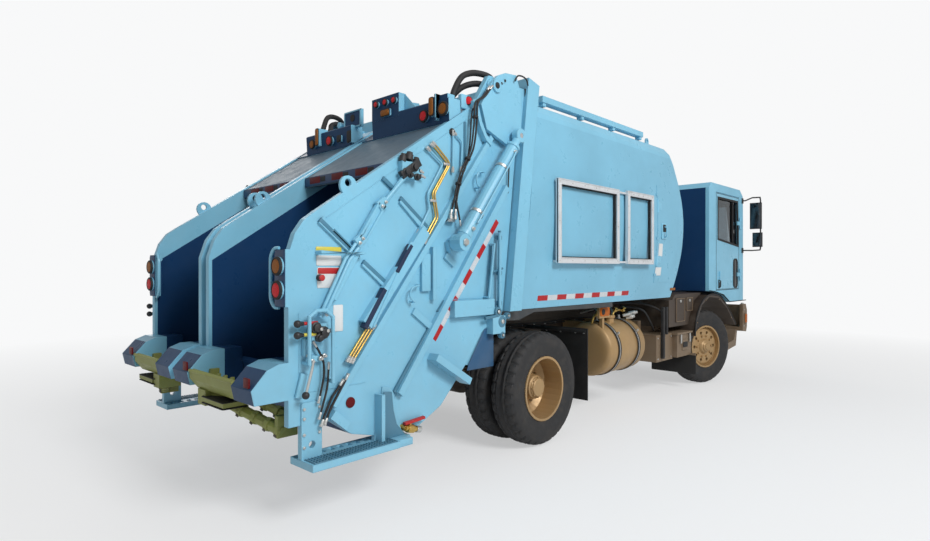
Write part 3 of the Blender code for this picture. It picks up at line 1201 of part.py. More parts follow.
def cart_lifter(side, name, outer, inner):
    """Olive trough between the corner boxes that tips a cart into the hopper."""
    facing = 1 if inner > outer else -1
    a = outer + facing * (BOX_WIDE + GAP)
    b = inner - facing * (BOX_WIDE + GAP)
    px, pz = LIFTER_PIN
    outline = [(px - 0.168, pz + 0.03), (px - 0.14, pz + 0.045), (px - 0.09, pz - 0.05), (px + 0.02, pz - 0.085),
               (px + 0.02, pz - 0.115), (px - 0.11, pz - 0.09), (px - 0.165, pz - 0.02)]
    trough = prism(outline, "y", a + facing * MOVE_GAP, b - facing * MOVE_GAP)
    cheek = [(px - 0.05, pz - 0.08), (px + 0.03, pz - 0.10), (px + 0.03, pz + 0.03), (px - 0.03, pz + 0.03)]
    parts = []
    for start, inward in ((a, facing), (b, -facing)):
        parts.append(prism(cheek, "y", start + inward * MOVE_GAP, start + inward * 0.04))
        parts.append(disc("y", (px, start + inward * 0.015, pz), 0.025, 0.015, 12))
    # folded lower arms, from a catch plate under the trough down towards the outer plate
    left = b - facing * 0.16
    right = a - facing * 0.115
    for back in (0.0, 0.07):
        start = Vector((px - 0.06 + back, left, pz - 0.13 + back))
        end = Vector((px + 0.11 + back, right, pz - 0.30 + back))
        parts.append(pipe([start, end], LIFTER_ARM - back * 0.1, 8))
    parts.append(box(px - 0.13, px + 0.03, left - facing * 0.02, left + facing * 0.10, pz - 0.19, pz - 0.085))
    parts.append(box(px - 0.14, px + 0.02, left - facing * 0.02, left - facing * 0.31, pz - 0.16, pz - 0.13))
    parts.append(box(px + 0.07, px + 0.21, right, right + facing * 0.04, pz - 0.335, pz - 0.195))
    return node(join(trough, *parts), f"cart_lifter_{name}", "lifter_olive", (px, 0, pz))


def lift_cylinder(side):
    """Tailgate lift cylinder: barrel on the tailgate, rod with its eye beside the rear frame's pin."""
    name = SIDE_NAMES[side]
    y = side * LIFT_Y
    low = Vector((LIFT_LOW[0], y, LIFT_LOW[1]))
    top = Vector((LIFT_TOP[0], y, LIFT_TOP[1]))
    along = (top - low).normalized()
    barrel = rod(low, low + along * LIFT_BARREL, LIFT_RADIUS, 14)
    join(barrel, disc("y", low, LIFT_RADIUS + 0.012, LIFT_RADIUS, 14))
    bore = rod(low + along * LIFT_BORE_START, low + along * (LIFT_BARREL + 0.1), LIFT_ROD + 0.002, 14)
    cut(barrel, bore)
    node(barrel, f"lift_barrel_{name}", "body_blue", low)
    piston = rod(low + along * (LIFT_BORE_START + GAP), top, LIFT_ROD, 14)
    join(piston, disc("y", top, EYE_RADIUS, EYE_HALF, 14))
    node(piston, f"lift_rod_{name}", "rod_chrome", top)


def build_tailgates():
    """Everything that rides on the two tailgates."""
    for side, name, outer, inner in TAILGATES:
        tailgate_shell(side, name, outer, inner)
        tailgate_roof(side, name, outer, inner)
        packer(side, name, outer, inner)
        sweep(side, name, outer, inner)
        cart_lifter(side, name, outer, inner)
        lift_cylinder(side)


def build():
    """Model the whole vehicle."""
    clear_scene()
    chassis_frame()
    engine_block()
    prop_shaft()
    rear_axle()
    front_axle()
    rear_wheels()
    front_wheels()
    fuel_tank()
    battery_box()
    equipment_box()
    hydraulic_tank()
    front_bumper()
    cab_shell()
    windshield()
    dashboard()
    body_shell()
    hose_channel()
    for side in (RIGHT, LEFT):
        mud_flap(side)
        front_fender(side)
        cab_door(side)
        seat(side)
        mirror(side)
        skirt(side)
        poster_frames(side)
    build_tailgates()


build()
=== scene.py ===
"""Looks of the garbage truck with two rear hoppers: finishes of the CAD nodes, and the fittings on them.

Places are in metres, with x counted from the rear axle, y to the vehicle's left and z up from the ground.
"""
import json
import math

import bmesh
import bpy
import numpy as np
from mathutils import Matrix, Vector


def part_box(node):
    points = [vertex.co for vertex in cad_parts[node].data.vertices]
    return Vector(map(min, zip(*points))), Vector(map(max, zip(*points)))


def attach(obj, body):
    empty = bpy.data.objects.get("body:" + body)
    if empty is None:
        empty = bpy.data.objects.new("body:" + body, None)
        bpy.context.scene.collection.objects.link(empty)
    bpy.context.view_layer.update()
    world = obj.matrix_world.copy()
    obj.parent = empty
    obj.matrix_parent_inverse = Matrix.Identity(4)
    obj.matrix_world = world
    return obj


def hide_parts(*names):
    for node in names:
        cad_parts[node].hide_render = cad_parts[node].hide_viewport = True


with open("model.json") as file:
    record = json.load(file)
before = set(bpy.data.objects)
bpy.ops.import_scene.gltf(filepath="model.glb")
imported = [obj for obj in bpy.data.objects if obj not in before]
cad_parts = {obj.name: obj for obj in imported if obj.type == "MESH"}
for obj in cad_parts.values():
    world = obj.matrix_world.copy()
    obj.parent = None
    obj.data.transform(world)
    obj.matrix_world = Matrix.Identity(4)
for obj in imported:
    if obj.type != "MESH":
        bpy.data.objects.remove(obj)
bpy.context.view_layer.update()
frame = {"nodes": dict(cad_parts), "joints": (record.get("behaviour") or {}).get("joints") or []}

NODES = frame["nodes"]
JOINTS = {joint["name"]: joint for joint in frame["joints"]}
AXLE_X = JOINTS["rear_wheel_right_spin"]["pos_m"][0]
SIDES = (("right", -1), ("left", 1))
PLANES = {"x": (1, 2, 0), "y": (0, 2, 1), "z": (0, 1, 2)}

# Camera, worked out from the photograph's vanishing lines and the wheelbase
CAMERA_AT = (-4.463, -4.381, 1.634)
CAMERA_YAW_DEG = 43.272
CAMERA_PITCH_DEG = -0.139
CAMERA_LENS = 22.66

# Truck, as in the part
BODY_FLOOR_Z = 1.27
BODY_TOP_Z = 3.19
BODY_HALF = 1.215
BODY_CROWN = 0.085
LEAN = 0.128
OPENING_X = -0.54
SHELL_HALF = 1.145
CAB_HALF = 1.20
SKIN_PROUD = 0.003           # of the smooth skin over the CAD solid
SLOPE = ((-0.920, 2.983), (-2.407, 2.004))     # ends of the tailgates' upper edge as (x, z)
EAR_OUT = 1.200              # outer face of the hinge ears
FENDER_OUT = 1.2005          # outer face of the front fenders, and a hair more
MIRROR_X = 5.5845            # rear face of the mirrors' cases
TANK_AXIS = (0, -0.86, 0.73)


# Shapes: each surface is a grid of points worked out at once

def grid_faces(rows, columns, wrap_rows, wrap_columns):
    """Quads between neighbouring rows and columns; a wrapped direction also joins its end to its start."""
    i, j = np.meshgrid(np.arange(rows if wrap_rows else rows - 1),
                       np.arange(columns if wrap_columns else columns - 1), indexing="ij")
    next_i = (i + 1) % rows
    next_j = (j + 1) % columns
    corners = (i * columns + j, i * columns + next_j, next_i * columns + next_j, next_i * columns + j)
    return np.stack(corners, -1).reshape(-1, 4)


class Form:
    """Surfaces of one piece, gathered before they become a mesh."""

    def __init__(self):
        self.points = []
        self.faces = []
        self.count = 0

    def grid(self, points, wrap_rows=False, wrap_columns=False, cap=False):
        """Add a grid of rows x columns points; cap closes its first and last row with one face each."""
        rows, columns = points.shape[:2]
        self.faces += (grid_faces(rows, columns, wrap_rows, wrap_columns) + self.count).tolist()
        if cap:
            first = np.arange(columns) + self.count
            self.faces += [first[::-1].tolist(), (first + (rows - 1) * columns).tolist()]
        self.points.append(points.reshape(-1, 3))
        self.count += rows * columns
        return self


def unit(vector):
    """The vector at length one."""
    vector = np.asarray(vector, float)
    return vector / np.linalg.norm(vector)


def basis(axis):
    """Two directions square to the axis and to each other."""
    axis = unit(axis)
    guide = np.eye(3)[np.argmin(np.abs(axis))]
    side = unit(np.cross(guide, axis))
    return side, np.cross(axis, side)


def circle(radius, sides):
    """Points round a circle, as (side, up)."""
    angle = np.linspace(0, 2 * np.pi, sides, endpoint=False)
    return radius * np.stack([np.cos(angle), np.sin(angle)], -1)


def smooth_path(points, steps=6):
    """Cubic curve through the points, whose slope at each point is that between its neighbours."""
    p = np.asarray(points, float)
    p = np.vstack([2 * p[0] - p[1], p, 2 * p[-1] - p[-2]])
    t = np.linspace(0, 1, steps, endpoint=False)[None, :, None]
    a, b, c, d = (p[k:len(p) - 3 + k, None] for k in range(4))
    square, cube = 2 * a - 5 * b + 4 * c - d, 3 * b - a - 3 * c + d
    curve = 0.5 * (2 * b + (c - a) * t + square * t ** 2 + cube * t ** 3)
    return np.vstack([curve.reshape(-1, 3), p[-2:-1]])


def bent(points, radius=0.028, steps=4):
    """Straight runs between the points, with a quadratic bend of about the given radius at each corner."""
    p = np.asarray(points, float)
    path = [p[0]]
    t = np.linspace(0, 1, steps)[:, None]
    for before, corner, after in zip(p[:-2], p[1:-1], p[2:]):
        a = corner + unit(before - corner) * min(radius, np.linalg.norm(before - corner) * 0.45)
        b = corner + unit(after - corner) * min(radius, np.linalg.norm(after - corner) * 0.45)
        path += list((1 - t) ** 2 * a + 2 * t * (1 - t) * corner + t ** 2 * b)
    return np.array(path + [p[-1]])


def carried(path, section, scale=1.0):
    """Section of (side, up) points carried along the path, turned from point to point by the least turn."""
    path = np.asarray(path, float)
    heading = np.gradient(path, axis=0)
    heading /= np.linalg.norm(heading, axis=1)[:, None]
    side = basis(heading[0])[0]
    sides = []
    for direction in heading:
        side = unit(side - direction * (side @ direction))
        sides.append(side)
    sides = np.array(sides)
    ups = np.cross(heading, sides)
    size = np.broadcast_to(np.asarray(scale, float), len(path))[:, None, None]
    section = np.asarray(section, float)[None]
    return path[:, None] + size * (sides[:, None] * section[..., :1] + ups[:, None] * section[..., 1:])


def tube(form, path, radius, sides=10):
    """Round bar or hose: a circle carried along the path."""
    return form.grid(carried(path, circle(radius, sides)), wrap_columns=True, cap=True)


def turned(form, profile, centre, axis, steps=24, ring=False):
    """Profile of (along the axis, radius) points turned round the axis through centre."""
    profile = np.asarray(profile, float)
    side, up = basis(axis)
    angle = np.linspace(0, 2 * np.pi, steps, endpoint=False)[None, :, None]
    spoke = np.cos(angle) * side + np.sin(angle) * up
    points = np.asarray(centre) + profile[:, None, :1] * unit(axis) + profile[:, None, 1:] * spoke
    return form.grid(points, wrap_rows=ring, wrap_columns=True, cap=not ring)


def edge_normals(outline):
    """Outward direction of each side of a closed outline, whichever way round it runs."""
    after = np.roll(outline, -1, 0) - outline
    first, second = outline.T
    area = np.sum(first * np.roll(second, -1) - second * np.roll(first, -1))
    out = np.stack([after[:, 1], -after[:, 0]], -1) * np.sign(area)
    return out / np.linalg.norm(out, axis=1)[:, None]


def plate(form, outline, start, end, axis="y", edge=0.004):
    """Outline given thickness from start to end along the axis, its rims rounded by quarter circles
    of radius edge."""
    outline = np.asarray(outline, float)
    out = edge_normals(outline)
    before = np.roll(out, 1, 0)
    mitre = (out + before) / np.maximum(0.35, 1 + np.sum(out * before, 1))[:, None]
    bend = np.linspace(0, np.pi / 2, 3)
    inset = edge * (1 - np.sin(bend))
    level = edge * (1 - np.cos(bend)) * np.sign(end - start)
    inset = np.concatenate([inset, inset[::-1]])
    level = np.concatenate([start + level, end - level[::-1]])
    first, second, along = PLANES[axis]
    points = np.zeros((len(level), len(outline), 3))
    flat = outline[None] - mitre[None] * inset[:, None, None]
    points[..., first] = flat[..., 0]
    points[..., second] = flat[..., 1]
    points[..., along] = level[:, None]
    return form.grid(points, wrap_columns=True, cap=True)


def rounded(a0, a1, b0, b1, radius, steps=3):
    """Rectangle outline with round corners."""
    corners = ((a1 - radius, b1 - radius, 0), (a0 + radius, b1 - radius, 90),
               (a0 + radius, b0 + radius, 180), (a1 - radius, b0 + radius, 270))
    points = []
    for a, b, start in corners:
        turn = np.radians(start + np.linspace(0, 90, steps + 1))
        points.append(np.stack([a + radius * np.cos(turn), b + radius * np.sin(turn)], -1))
    return np.vstack(points)


def block(form, low, high, axis="y", corner=0.01, edge=0.004):
    """Box between two opposite places, with round corners along the axis and softened rims."""
    low, high = np.minimum(low, high), np.maximum(low, high)
    first, second, along = PLANES[axis]
    outline = rounded(low[first], high[first], low[second], high[second], corner)
    return plate(form, outline, low[along], high[along], axis, edge)


def ring_plate(form, outline, width, start, end, axis="y"):
    """Frame of the given width inside an outline, from start to end along the axis."""
    outline = np.asarray(outline, float)
    out = edge_normals(outline)
    before = np.roll(out, 1, 0)
    inner = outline - (out + before) / (1 + np.sum(out * before, 1))[:, None] * width
    first, second, along = PLANES[axis]
    points = np.zeros((4, len(outline), 3))
    for row, (flat, level) in enumerate(((outline, start), (outline, end), (inner, end), (inner, start))):
        points[row][:, first] = flat[:, 0]
        points[row][:, second] = flat[:, 1]
        points[row][:, along] = level
    return form.grid(points, wrap_rows=True, wrap_columns=True)


def ball(form, place, radius, rings=9):
    """Round knob, its poles closed."""
    angle = np.linspace(0.03, np.pi - 0.03, rings)
    return turned(form, np.stack([-radius * np.cos(angle), radius * np.sin(angle)], -1), place, (0, 0, 1), 16)


def bolts(form, places, axis, radius, height):
    """Hexagon heads with chamfered tops, standing on each place along the axis."""
    for place in places:
        turned(form, [(0, radius), (height * 0.75, radius), (height, radius * 0.8)], place, axis, 6)
    return form


def round_places(centre, axis, radius, count, start=0.0):
    """Places evenly round a circle square to the axis."""
    side, up = basis(axis)
    angle = start + np.linspace(0, 2 * np.pi, count, endpoint=False)[:, None]
    return np.asarray(centre) + radius * (np.cos(angle) * side + np.sin(angle) * up)


def strap(form, start, end, wide, y0, y1, edge=0.003):
    """Flat bar in the side view between two (x, z) points."""
    a, b = np.asarray(start, float), np.asarray(end, float)
    across = unit(b - a) @ np.array([[0, 1], [-1, 0]]) * wide / 2
    return plate(form, [a + across, b + across, b - across, a - across], y0, y1, "y", edge)


def piece(name, form, body, material, angle=35):
    """Make the mesh, shift it from axle to frame places, merge its doubles and turn its faces outwards."""
    mesh = bpy.data.meshes.new(name)
    points = np.vstack(form.points) + (AXLE_X, 0, 0)
    mesh.from_pydata(points.tolist(), [], form.faces)
    work = bmesh.new()
    work.from_mesh(mesh)
    bmesh.ops.remove_doubles(work, verts=work.verts, dist=1e-5)
    bmesh.ops.recalc_face_normals(work, faces=work.faces)
    work.to_mesh(mesh)
    work.free()
    mesh.shade_smooth()
    mesh.set_sharp_from_angle(angle=math.radians(angle))
    made = bpy.data.objects.new(name, mesh)
    bpy.context.scene.collection.objects.link(made)
    mesh.materials.append(material)
    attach(made, body)
    return made


def pieces(name, body, **made):
    """One piece for each form and its finish, named by the key and the side."""
    for key, (form, finish) in made.items():
        piece(f"{key}_{name}", form, body, finish)


# Finishes

class Nodes:
    """A node tree, with short calls for the nodes that the finishes, the floor and the sky share."""

    def __init__(self, tree):
        self.tree = tree

    def add(self, kind, inputs=None, **settings):
        """New node; each input is given a value or joined to a socket."""
        made = self.tree.nodes.new("ShaderNode" + kind)
        for key, value in settings.items():
            setattr(made, key, value)
        for key, value in (inputs or {}).items():
            self.feed(made.inputs[key], value)
        return made

    def feed(self, socket, value):
        """Set or join one input."""
        if isinstance(value, bpy.types.NodeSocket):
            self.tree.links.new(value, socket)
        else:
            socket.default_value = value

    def span(self, value, low, high, new_low=0.0, new_high=1.0):
        """Value from low to high, stretched to a new span and held there."""
        return self.add("MapRange", {"Value": value, "From Min": low, "From Max": high, "To Min": new_low,
                                     "To Max": new_high}).outputs["Result"]

    def calc(self, kind, first, second):
        """Math of two values."""
        return self.add("Math", {0: first, 1: second}, operation=kind).outputs[0]

    def seen_ray(self):
        """Whether a ray comes from the camera or through a window, and for reflections a share of it."""
        kinds = self.add("LightPath").outputs
        value = kinds["Is Camera Ray"]
        for kind, share in (("Is Glossy Ray", 0.35), ("Is Transmission Ray", 1.0)):
            value = self.calc("MAXIMUM", value, self.calc("MULTIPLY", kinds[kind], share))
        return value


class Finish(Nodes):
    """One material's nodes, for steel, rubber, plastic, glass and cloth."""

    def __init__(self, name):
        self.material = bpy.data.materials.new(name)
        self.material.use_nodes = True
        super().__init__(self.material.node_tree)
        self.shader = self.tree.nodes["Principled BSDF"]
        self.place = self.add("TexCoord").outputs["Object"]

    def noise(self, scale, detail=3.0, rough=0.55, stretch=None):
        """Noise over the piece, from 0 to 1."""
        place = self.place
        if stretch:
            place = self.add("Mapping", {"Vector": place, "Scale": stretch}).outputs[0]
        return self.add("TexNoise", {"Vector": place, "Scale": scale, "Detail": detail,
                                     "Roughness": rough}).outputs["Fac"]

    def blend(self, share, first, second):
        """Colour between two colours."""
        made = self.add("Mix", {0: share, 6: first, 7: second}, data_type="RGBA")
        return made.outputs[2]

    def height(self):
        """Height over the ground of the parked truck."""
        return self.add("SeparateXYZ", {0: self.place}).outputs["Z"]

    def within(self, low, high):
        """1 where the place on the parked truck lies between two corners, x counted from the rear axle."""
        parts = self.add("SeparateXYZ", {0: self.place})
        share = None
        for axis, a, b, shift in zip("XYZ", low, high, (AXLE_X, 0.0, 0.0)):
            above = self.calc("GREATER_THAN", parts.outputs[axis], a + shift)
            below = self.calc("LESS_THAN", parts.outputs[axis], b + shift)
            both = self.calc("MULTIPLY", above, below)
            share = both if share is None else self.calc("MULTIPLY", share, both)
        return share

    def under_slope(self, drop):
        """1 where the place lies more than drop below the tailgates' sloping upper edge."""
        parts = self.add("SeparateXYZ", {0: self.place})
        (x0, z0), (x1, z1) = SLOPE
        rise = (z1 - z0) / (x1 - x0)
        line = self.calc("MULTIPLY", parts.outputs["X"], rise)
        gap = self.calc("SUBTRACT", line, parts.outputs["Z"])
        return self.calc("GREATER_THAN", gap, drop * math.hypot(1, rise) + rise * (x0 + AXLE_X) - z0)

    def edge(self, radius):
        """Rounded normal at sharp edges, and how close the edge is."""
        soft = self.add("Bevel", {"Radius": radius}, samples=4).outputs["Normal"]
        flat = self.add("NewGeometry").outputs["Normal"]
        alike = self.add("VectorMath", {0: soft, 1: flat}, operation="DOT_PRODUCT").outputs["Value"]
        return soft, self.span(alike, 0.985, 0.80)

    def bump(self, height, strength, distance, normal=None):
        """Fine relief for the shader's normal."""
        inputs = {"Height": height, "Strength": strength, "Distance": distance}
        if normal is not None:
            inputs["Normal"] = normal
        self.feed(self.shader.inputs["Normal"], self.add("Bump", inputs).outputs["Normal"])

    def set(self, **values):
        """Inputs of the shader by name, with _ for a space."""
        for key, value in values.items():
            self.feed(self.shader.inputs[key.replace("_", " ")], value)
        return self.material


def rgb(red, green, blue):
    """Colour with alpha, from linear red, green and blue."""
    return (red, green, blue, 1.0)


def hopper_painted_shade(f):
    """Where a tailgate's blue gives way to painted navy shade: inside the hopper, below the edges, and on the
    rear-facing faces of the beams and the sill boxes.
    """
    right = f.within((-2.575, -1.099, 0.47), (0.0, -0.006, 3.4))
    left = f.within((-2.575, 0.166, 0.47), (0.0, 1.099, 3.4))
    inside = f.calc("MULTIPLY", f.calc("MAXIMUM", right, left), f.under_slope(0.16))
    beams = f.within((-1.27, -1.14, 2.79), (-1.05, 1.14, 3.2))
    facing = f.add("SeparateXYZ", {0: f.add("NewGeometry").outputs["Normal"]}).outputs["X"]
    # faces turned rearwards get painted shade
    rear = f.span(facing, -0.30, -0.50)
    backs = f.calc("MULTIPLY", rear, f.within((-2.9, -1.14, 0.80), (-2.60, 1.14, 1.8)))
    shaded = f.calc("MULTIPLY", f.calc("MAXIMUM", f.calc("MULTIPLY", rear, beams), backs), 0.97)
    return f.calc("MAXIMUM", inside, shaded)


def body_painted_shade(f):
    """Painted navy shade inside the load body."""
    return f.within((-0.50, -1.11, 1.31), (2.78, 1.11, 3.14))


def cab_painted_shade(f):
    """Painted navy shade on the cab's rear wall and inside."""
    low = f.within((4.035, -1.165, 1.2), (5.50, 1.165, 1.85))
    inside = f.calc("MAXIMUM", low, f.within((4.035, -1.165, 1.85), (5.32, 1.165, 2.84)))
    return f.calc("MAXIMUM", inside, f.within((3.9, -1.15, 1.1), (4.01, 1.15, 2.80)))


def painted(name, colour, roughness=0.35, dust=0.35, chips=0.5, metallic=0.0, shade=None, edge=0.006):
    """Sprayed steel: faint fading, orange peel, road dust that thickens downwards, and worn edges. Where
    shade holds, shade is painted into the colour: it turns to deep navy, with less gloss and dust."""
    f = Finish(name)
    fade = f.span(f.noise(1.3, 4), 0.3, 0.7, 0.90, 1.06)
    # painted shade: where the mask holds, the colour turns to the deep navy
    masked = shade(f) if shade else None
    tone = f.blend(masked, colour, PAINTED_SHADE_COLOUR) if shade else colour
    tone = f.add("HueSaturation", {"Color": tone, "Value": fade}).outputs[0]
    grime = f.noise(7.0, 8, 0.65)
    streaks = f.noise(5.0, 5, 0.6, (6.0, 6.0, 0.6))
    low = f.span(f.height(), 1.5, 0.3)
    film = f.calc("MULTIPLY", f.span(f.calc("ADD", grime, f.calc("MULTIPLY", low, 0.35)), 0.50, 1.05), dust)
    film = f.calc("ADD", film, f.calc("MULTIPLY", f.span(streaks, 0.60, 0.85), dust * 0.15))
    if shade:
        film = f.calc("MULTIPLY", film, f.span(masked, 0.0, 1.0, 1.0, 0.15))
    tone = f.blend(film, tone, rgb(0.27, 0.23, 0.18))
    soft, near = f.edge(edge)
    worn = f.calc("MULTIPLY", near, f.span(f.noise(22, 6, 0.7), 0.55, 0.68, 0.0, chips))
    tone = f.blend(worn, tone, rgb(0.30, 0.29, 0.27))
    rough = f.span(f.calc("ADD", grime, film), 0.3, 1.0, roughness - 0.06, roughness + 0.25)
    f.bump(f.noise(90, 1), 0.03, 0.0006, soft)
    if shade:
        f.set(Specular_IOR_Level=f.span(masked, 0.0, 1.0, 0.5, 0.12))
    return f.set(Base_Color=tone, Roughness=rough, Metallic=metallic)


def rubber(name, colour=rgb(0.018, 0.018, 0.019), dust=0.35):
    """Black rubber with a dry, dusty film and a fine grain."""
    f = Finish(name)
    grime = f.noise(11, 7, 0.65)
    film = f.span(grime, 0.45, 0.85, 0.0, dust)
    tone = f.blend(film, colour, rgb(0.16, 0.14, 0.12))
    f.bump(f.noise(340, 3), 0.15, 0.001)
    return f.set(Base_Color=tone, Roughness=f.span(grime, 0.3, 0.8, 0.62, 0.88))


def bare_metal(name, colour, roughness=0.28, brush=(1.0, 1.0, 1.0), metallic=1.0):
    """Bare or plated metal with fine drawn lines, light smudges and dust in patches."""
    f = Finish(name)
    lines = f.noise(120, 4, 0.6, brush)
    smudge = f.noise(9, 5, 0.6)
    tone = f.blend(f.span(smudge, 0.5, 0.85, 0.0, 0.35), colour, rgb(0.20, 0.18, 0.15))
    soft = f.edge(0.003)[0]
    f.bump(lines, 0.06, 0.001, soft)
    rough = f.calc("ADD", smudge, f.calc("MULTIPLY", lines, 0.4))
    rough = f.span(rough, 0.4, 1.0, roughness, roughness + 0.3)
    return f.set(Base_Color=tone, Roughness=rough, Metallic=metallic)


def moulded(name, colour, roughness=0.5, grain=220):
    """Moulded plastic with a leather-like grain and scuffed edges."""
    f = Finish(name)
    smudge = f.noise(8, 6, 0.6)
    cells = f.add("TexVoronoi", {"Vector": f.place, "Scale": grain}).outputs["Distance"]
    tone = f.blend(f.span(smudge, 0.5, 0.9, 0.0, 0.22), colour, rgb(0.20, 0.18, 0.16))
    soft, near = f.edge(0.003)
    tone = f.blend(f.calc("MULTIPLY", near, 0.25), tone, rgb(0.16, 0.16, 0.16))
    f.bump(cells, 0.12, 0.0008, soft)
    return f.set(Base_Color=tone, Roughness=f.span(smudge, 0.3, 0.8, roughness - 0.1, roughness + 0.15))


def lens(name, colour, ribs=260):
    """Lamp lens: clear coloured plastic over ribs, with the bright bowl's reflection painted into its colour.
    """
    f = Finish(name)
    cells = f.add("TexVoronoi", {"Vector": f.place, "Scale": ribs}, feature="SMOOTH_F1").outputs["Distance"]
    # lighter cell middles: painted reflection of the bowl; darker cell edges: the ribs
    bowl_reflection = f.span(cells, 0.0, 0.6, 1.10, 0.55)
    tone = f.add("HueSaturation", {"Color": colour, "Value": bowl_reflection}).outputs[0]
    f.bump(cells, 0.35, 0.002)
    f.set(Base_Color=tone, Roughness=0.42, Specular_IOR_Level=0.16, Coat_Weight=0.04, Coat_Roughness=0.2)
    return f.material


def glazing(name, colour):
    """Tinted window glass with faint smears."""
    f = Finish(name)
    smear = f.noise(6, 5, 0.6)
    return f.set(Base_Color=colour, Transmission_Weight=1.0, IOR=1.45,
                 Roughness=f.span(smear, 0.5, 0.9, 0.01, 0.10))


def reflecting(name, colour):
    """Reflective tape: small honeycomb cells under a clear film."""
    f = Finish(name)
    cells = f.add("TexVoronoi", {"Vector": f.place, "Scale": 210},
                  feature="DISTANCE_TO_EDGE").outputs["Distance"]
    walls = f.span(cells, 0.0, 0.12, 0.75, 1.0)
    tone = f.add("HueSaturation", {"Color": colour, "Value": walls}).outputs[0]
    grime = f.noise(14, 6, 0.6)
    tone = f.blend(f.span(grime, 0.55, 0.9, 0.0, 0.3), tone, rgb(0.25, 0.22, 0.18))
    f.bump(cells, 0.1, 0.001)
    return f.set(Base_Color=tone, Roughness=0.4, Specular_IOR_Level=0.25, Coat_Weight=0.08)


def cloth_seat(name, colour):
    """Woven seat cloth: two crossed sets of threads."""
    f = Finish(name)
    warp = f.add("TexWave", {"Vector": f.place, "Scale": 160.0, "Distortion": 1.0},
                 bands_direction="Y").outputs["Fac"]
    weft = f.add("TexWave", {"Vector": f.place, "Scale": 160.0, "Distortion": 1.0},
                 bands_direction="Z").outputs["Fac"]
    weave = f.calc("MULTIPLY", warp, weft)
    tone = f.blend(f.span(weave, 0.0, 1.0, 0.0, 0.4), colour, rgb(0.16, 0.16, 0.17))
    f.bump(weave, 0.3, 0.001)
    return f.set(Base_Color=tone, Roughness=0.9, Sheen_Weight=0.2)


SKY = rgb(0.215, 0.515, 0.690)
# deep navy that stands in for shade: painted shade inside the hoppers, body and cab, and on rear-facing faces
PAINTED_SHADE_COLOUR = rgb(0.010, 0.043, 0.120)
HORIZON = rgb(0.94, 0.945, 0.95)
BLUE = painted("sky blue paint", SKY, 0.30, 0.14, 0.35)
BLUE_SKIN = painted("body sheet paint", rgb(0.190, 0.465, 0.630), 0.30, 0.08, 0.0, edge=0.0015)
# tailgate blue with painted navy shade in the hoppers and on rear-facing faces
BLUE_TAILGATE = painted("tailgate paint", SKY, 0.30, 0.14, 0.35, shade=hopper_painted_shade)
# body blue with painted navy shade inside the load body
BLUE_BODY = painted("body paint", SKY, 0.30, 0.14, 0.35, shade=body_painted_shade)
# cab blue with painted navy shade on its rear wall and inside
BLUE_CAB = painted("cab paint", SKY, 0.40, 0.14, 0.35, shade=cab_painted_shade)
# navy that paints shade: packers, sweeps, the lamp panel and the roof panel's lower flange
NAVY_PAINTED_SHADE = painted("navy shade paint", PAINTED_SHADE_COLOUR, 0.42, 0.12, 0.3)
BRONZE = painted("bronze chassis paint", rgb(0.205, 0.140, 0.085), 0.46, 0.40, 0.5, 0.25)
# the chassis bronze at a quarter of its brightness: painted shade
SHADED_BRONZE = painted("shaded chassis paint", rgb(0.050, 0.034, 0.024), 0.46, 0.22, 0.3, 0.2)
GOLD = painted("gold wheel paint", rgb(0.430, 0.270, 0.115), 0.36, 0.25, 0.4, 0.30)
SLATE = painted("slate roof paint", rgb(0.085, 0.140, 0.190), 0.42, 0.30, 0.4)
OLIVE = painted("olive lifter paint", rgb(0.245, 0.275, 0.050), 0.42, 0.40, 0.9)
SKIRT = painted("dark grey skirt paint", rgb(0.034, 0.039, 0.044), 0.50, 0.28, 0.4)
CAST = painted("cast iron", rgb(0.075, 0.075, 0.075), 0.55, 0.60, 0.3, 0.5)
BLACK_PAINT = painted("black chassis paint", rgb(0.014, 0.014, 0.015), 0.40, 0.35, 0.3)
ALUMINIUM = bare_metal("drawn aluminium", rgb(0.78, 0.80, 0.82), 0.26, (0.1, 1.0, 1.0), 0.55)
CHROME = bare_metal("chromed rod", rgb(0.82, 0.83, 0.85), 0.10)
MIRROR = bare_metal("mirror glass", rgb(0.085, 0.095, 0.105), 0.03)
ZINC = bare_metal("zinc fittings", rgb(0.60, 0.60, 0.58), 0.30)
BRASS = bare_metal("yellow zinc pipe", rgb(0.62, 0.42, 0.12))
TYRE = rubber("tyre rubber", rgb(0.016, 0.016, 0.017), 0.26)
HOSE = rubber("hose rubber", rgb(0.012, 0.012, 0.013), 0.18)
SEAL = rubber("window seal", rgb(0.010, 0.010, 0.011), 0.10)
TRIM = moulded("black trim", rgb(0.016, 0.016, 0.018))
FLAP = rubber("mud flap rubber", rgb(0.007, 0.007, 0.007), 0.10)
SEAT = cloth_seat("grey seat cloth", rgb(0.055, 0.058, 0.065))
GLASS = glazing("tinted glass", rgb(0.40, 0.48, 0.52))
DOOR_GLASS = glazing("door glass", rgb(0.15, 0.20, 0.23))
RED_LENS = lens("red lens", rgb(0.86, 0.030, 0.042))
DARK_RED_LENS = lens("dark red lens", rgb(0.16, 0.008, 0.010))
AMBER_LENS = lens("amber lens", rgb(0.40, 0.135, 0.020))
ORANGE_LENS = lens("orange lens", rgb(0.62, 0.150, 0.012))
CLEAR_LENS = lens("clear lens", rgb(0.72, 0.74, 0.76))
RED_TAPE = reflecting("red tape", rgb(0.44, 0.012, 0.016))
SILVER_TAPE = reflecting("silver tape", rgb(0.62, 0.65, 0.68))
YELLOW = painted("yellow sign plate", rgb(0.66, 0.56, 0.07), 0.35, 0.1, 0.1)
PLASTIC_RED = moulded("red plastic", rgb(0.45, 0.015, 0.015))
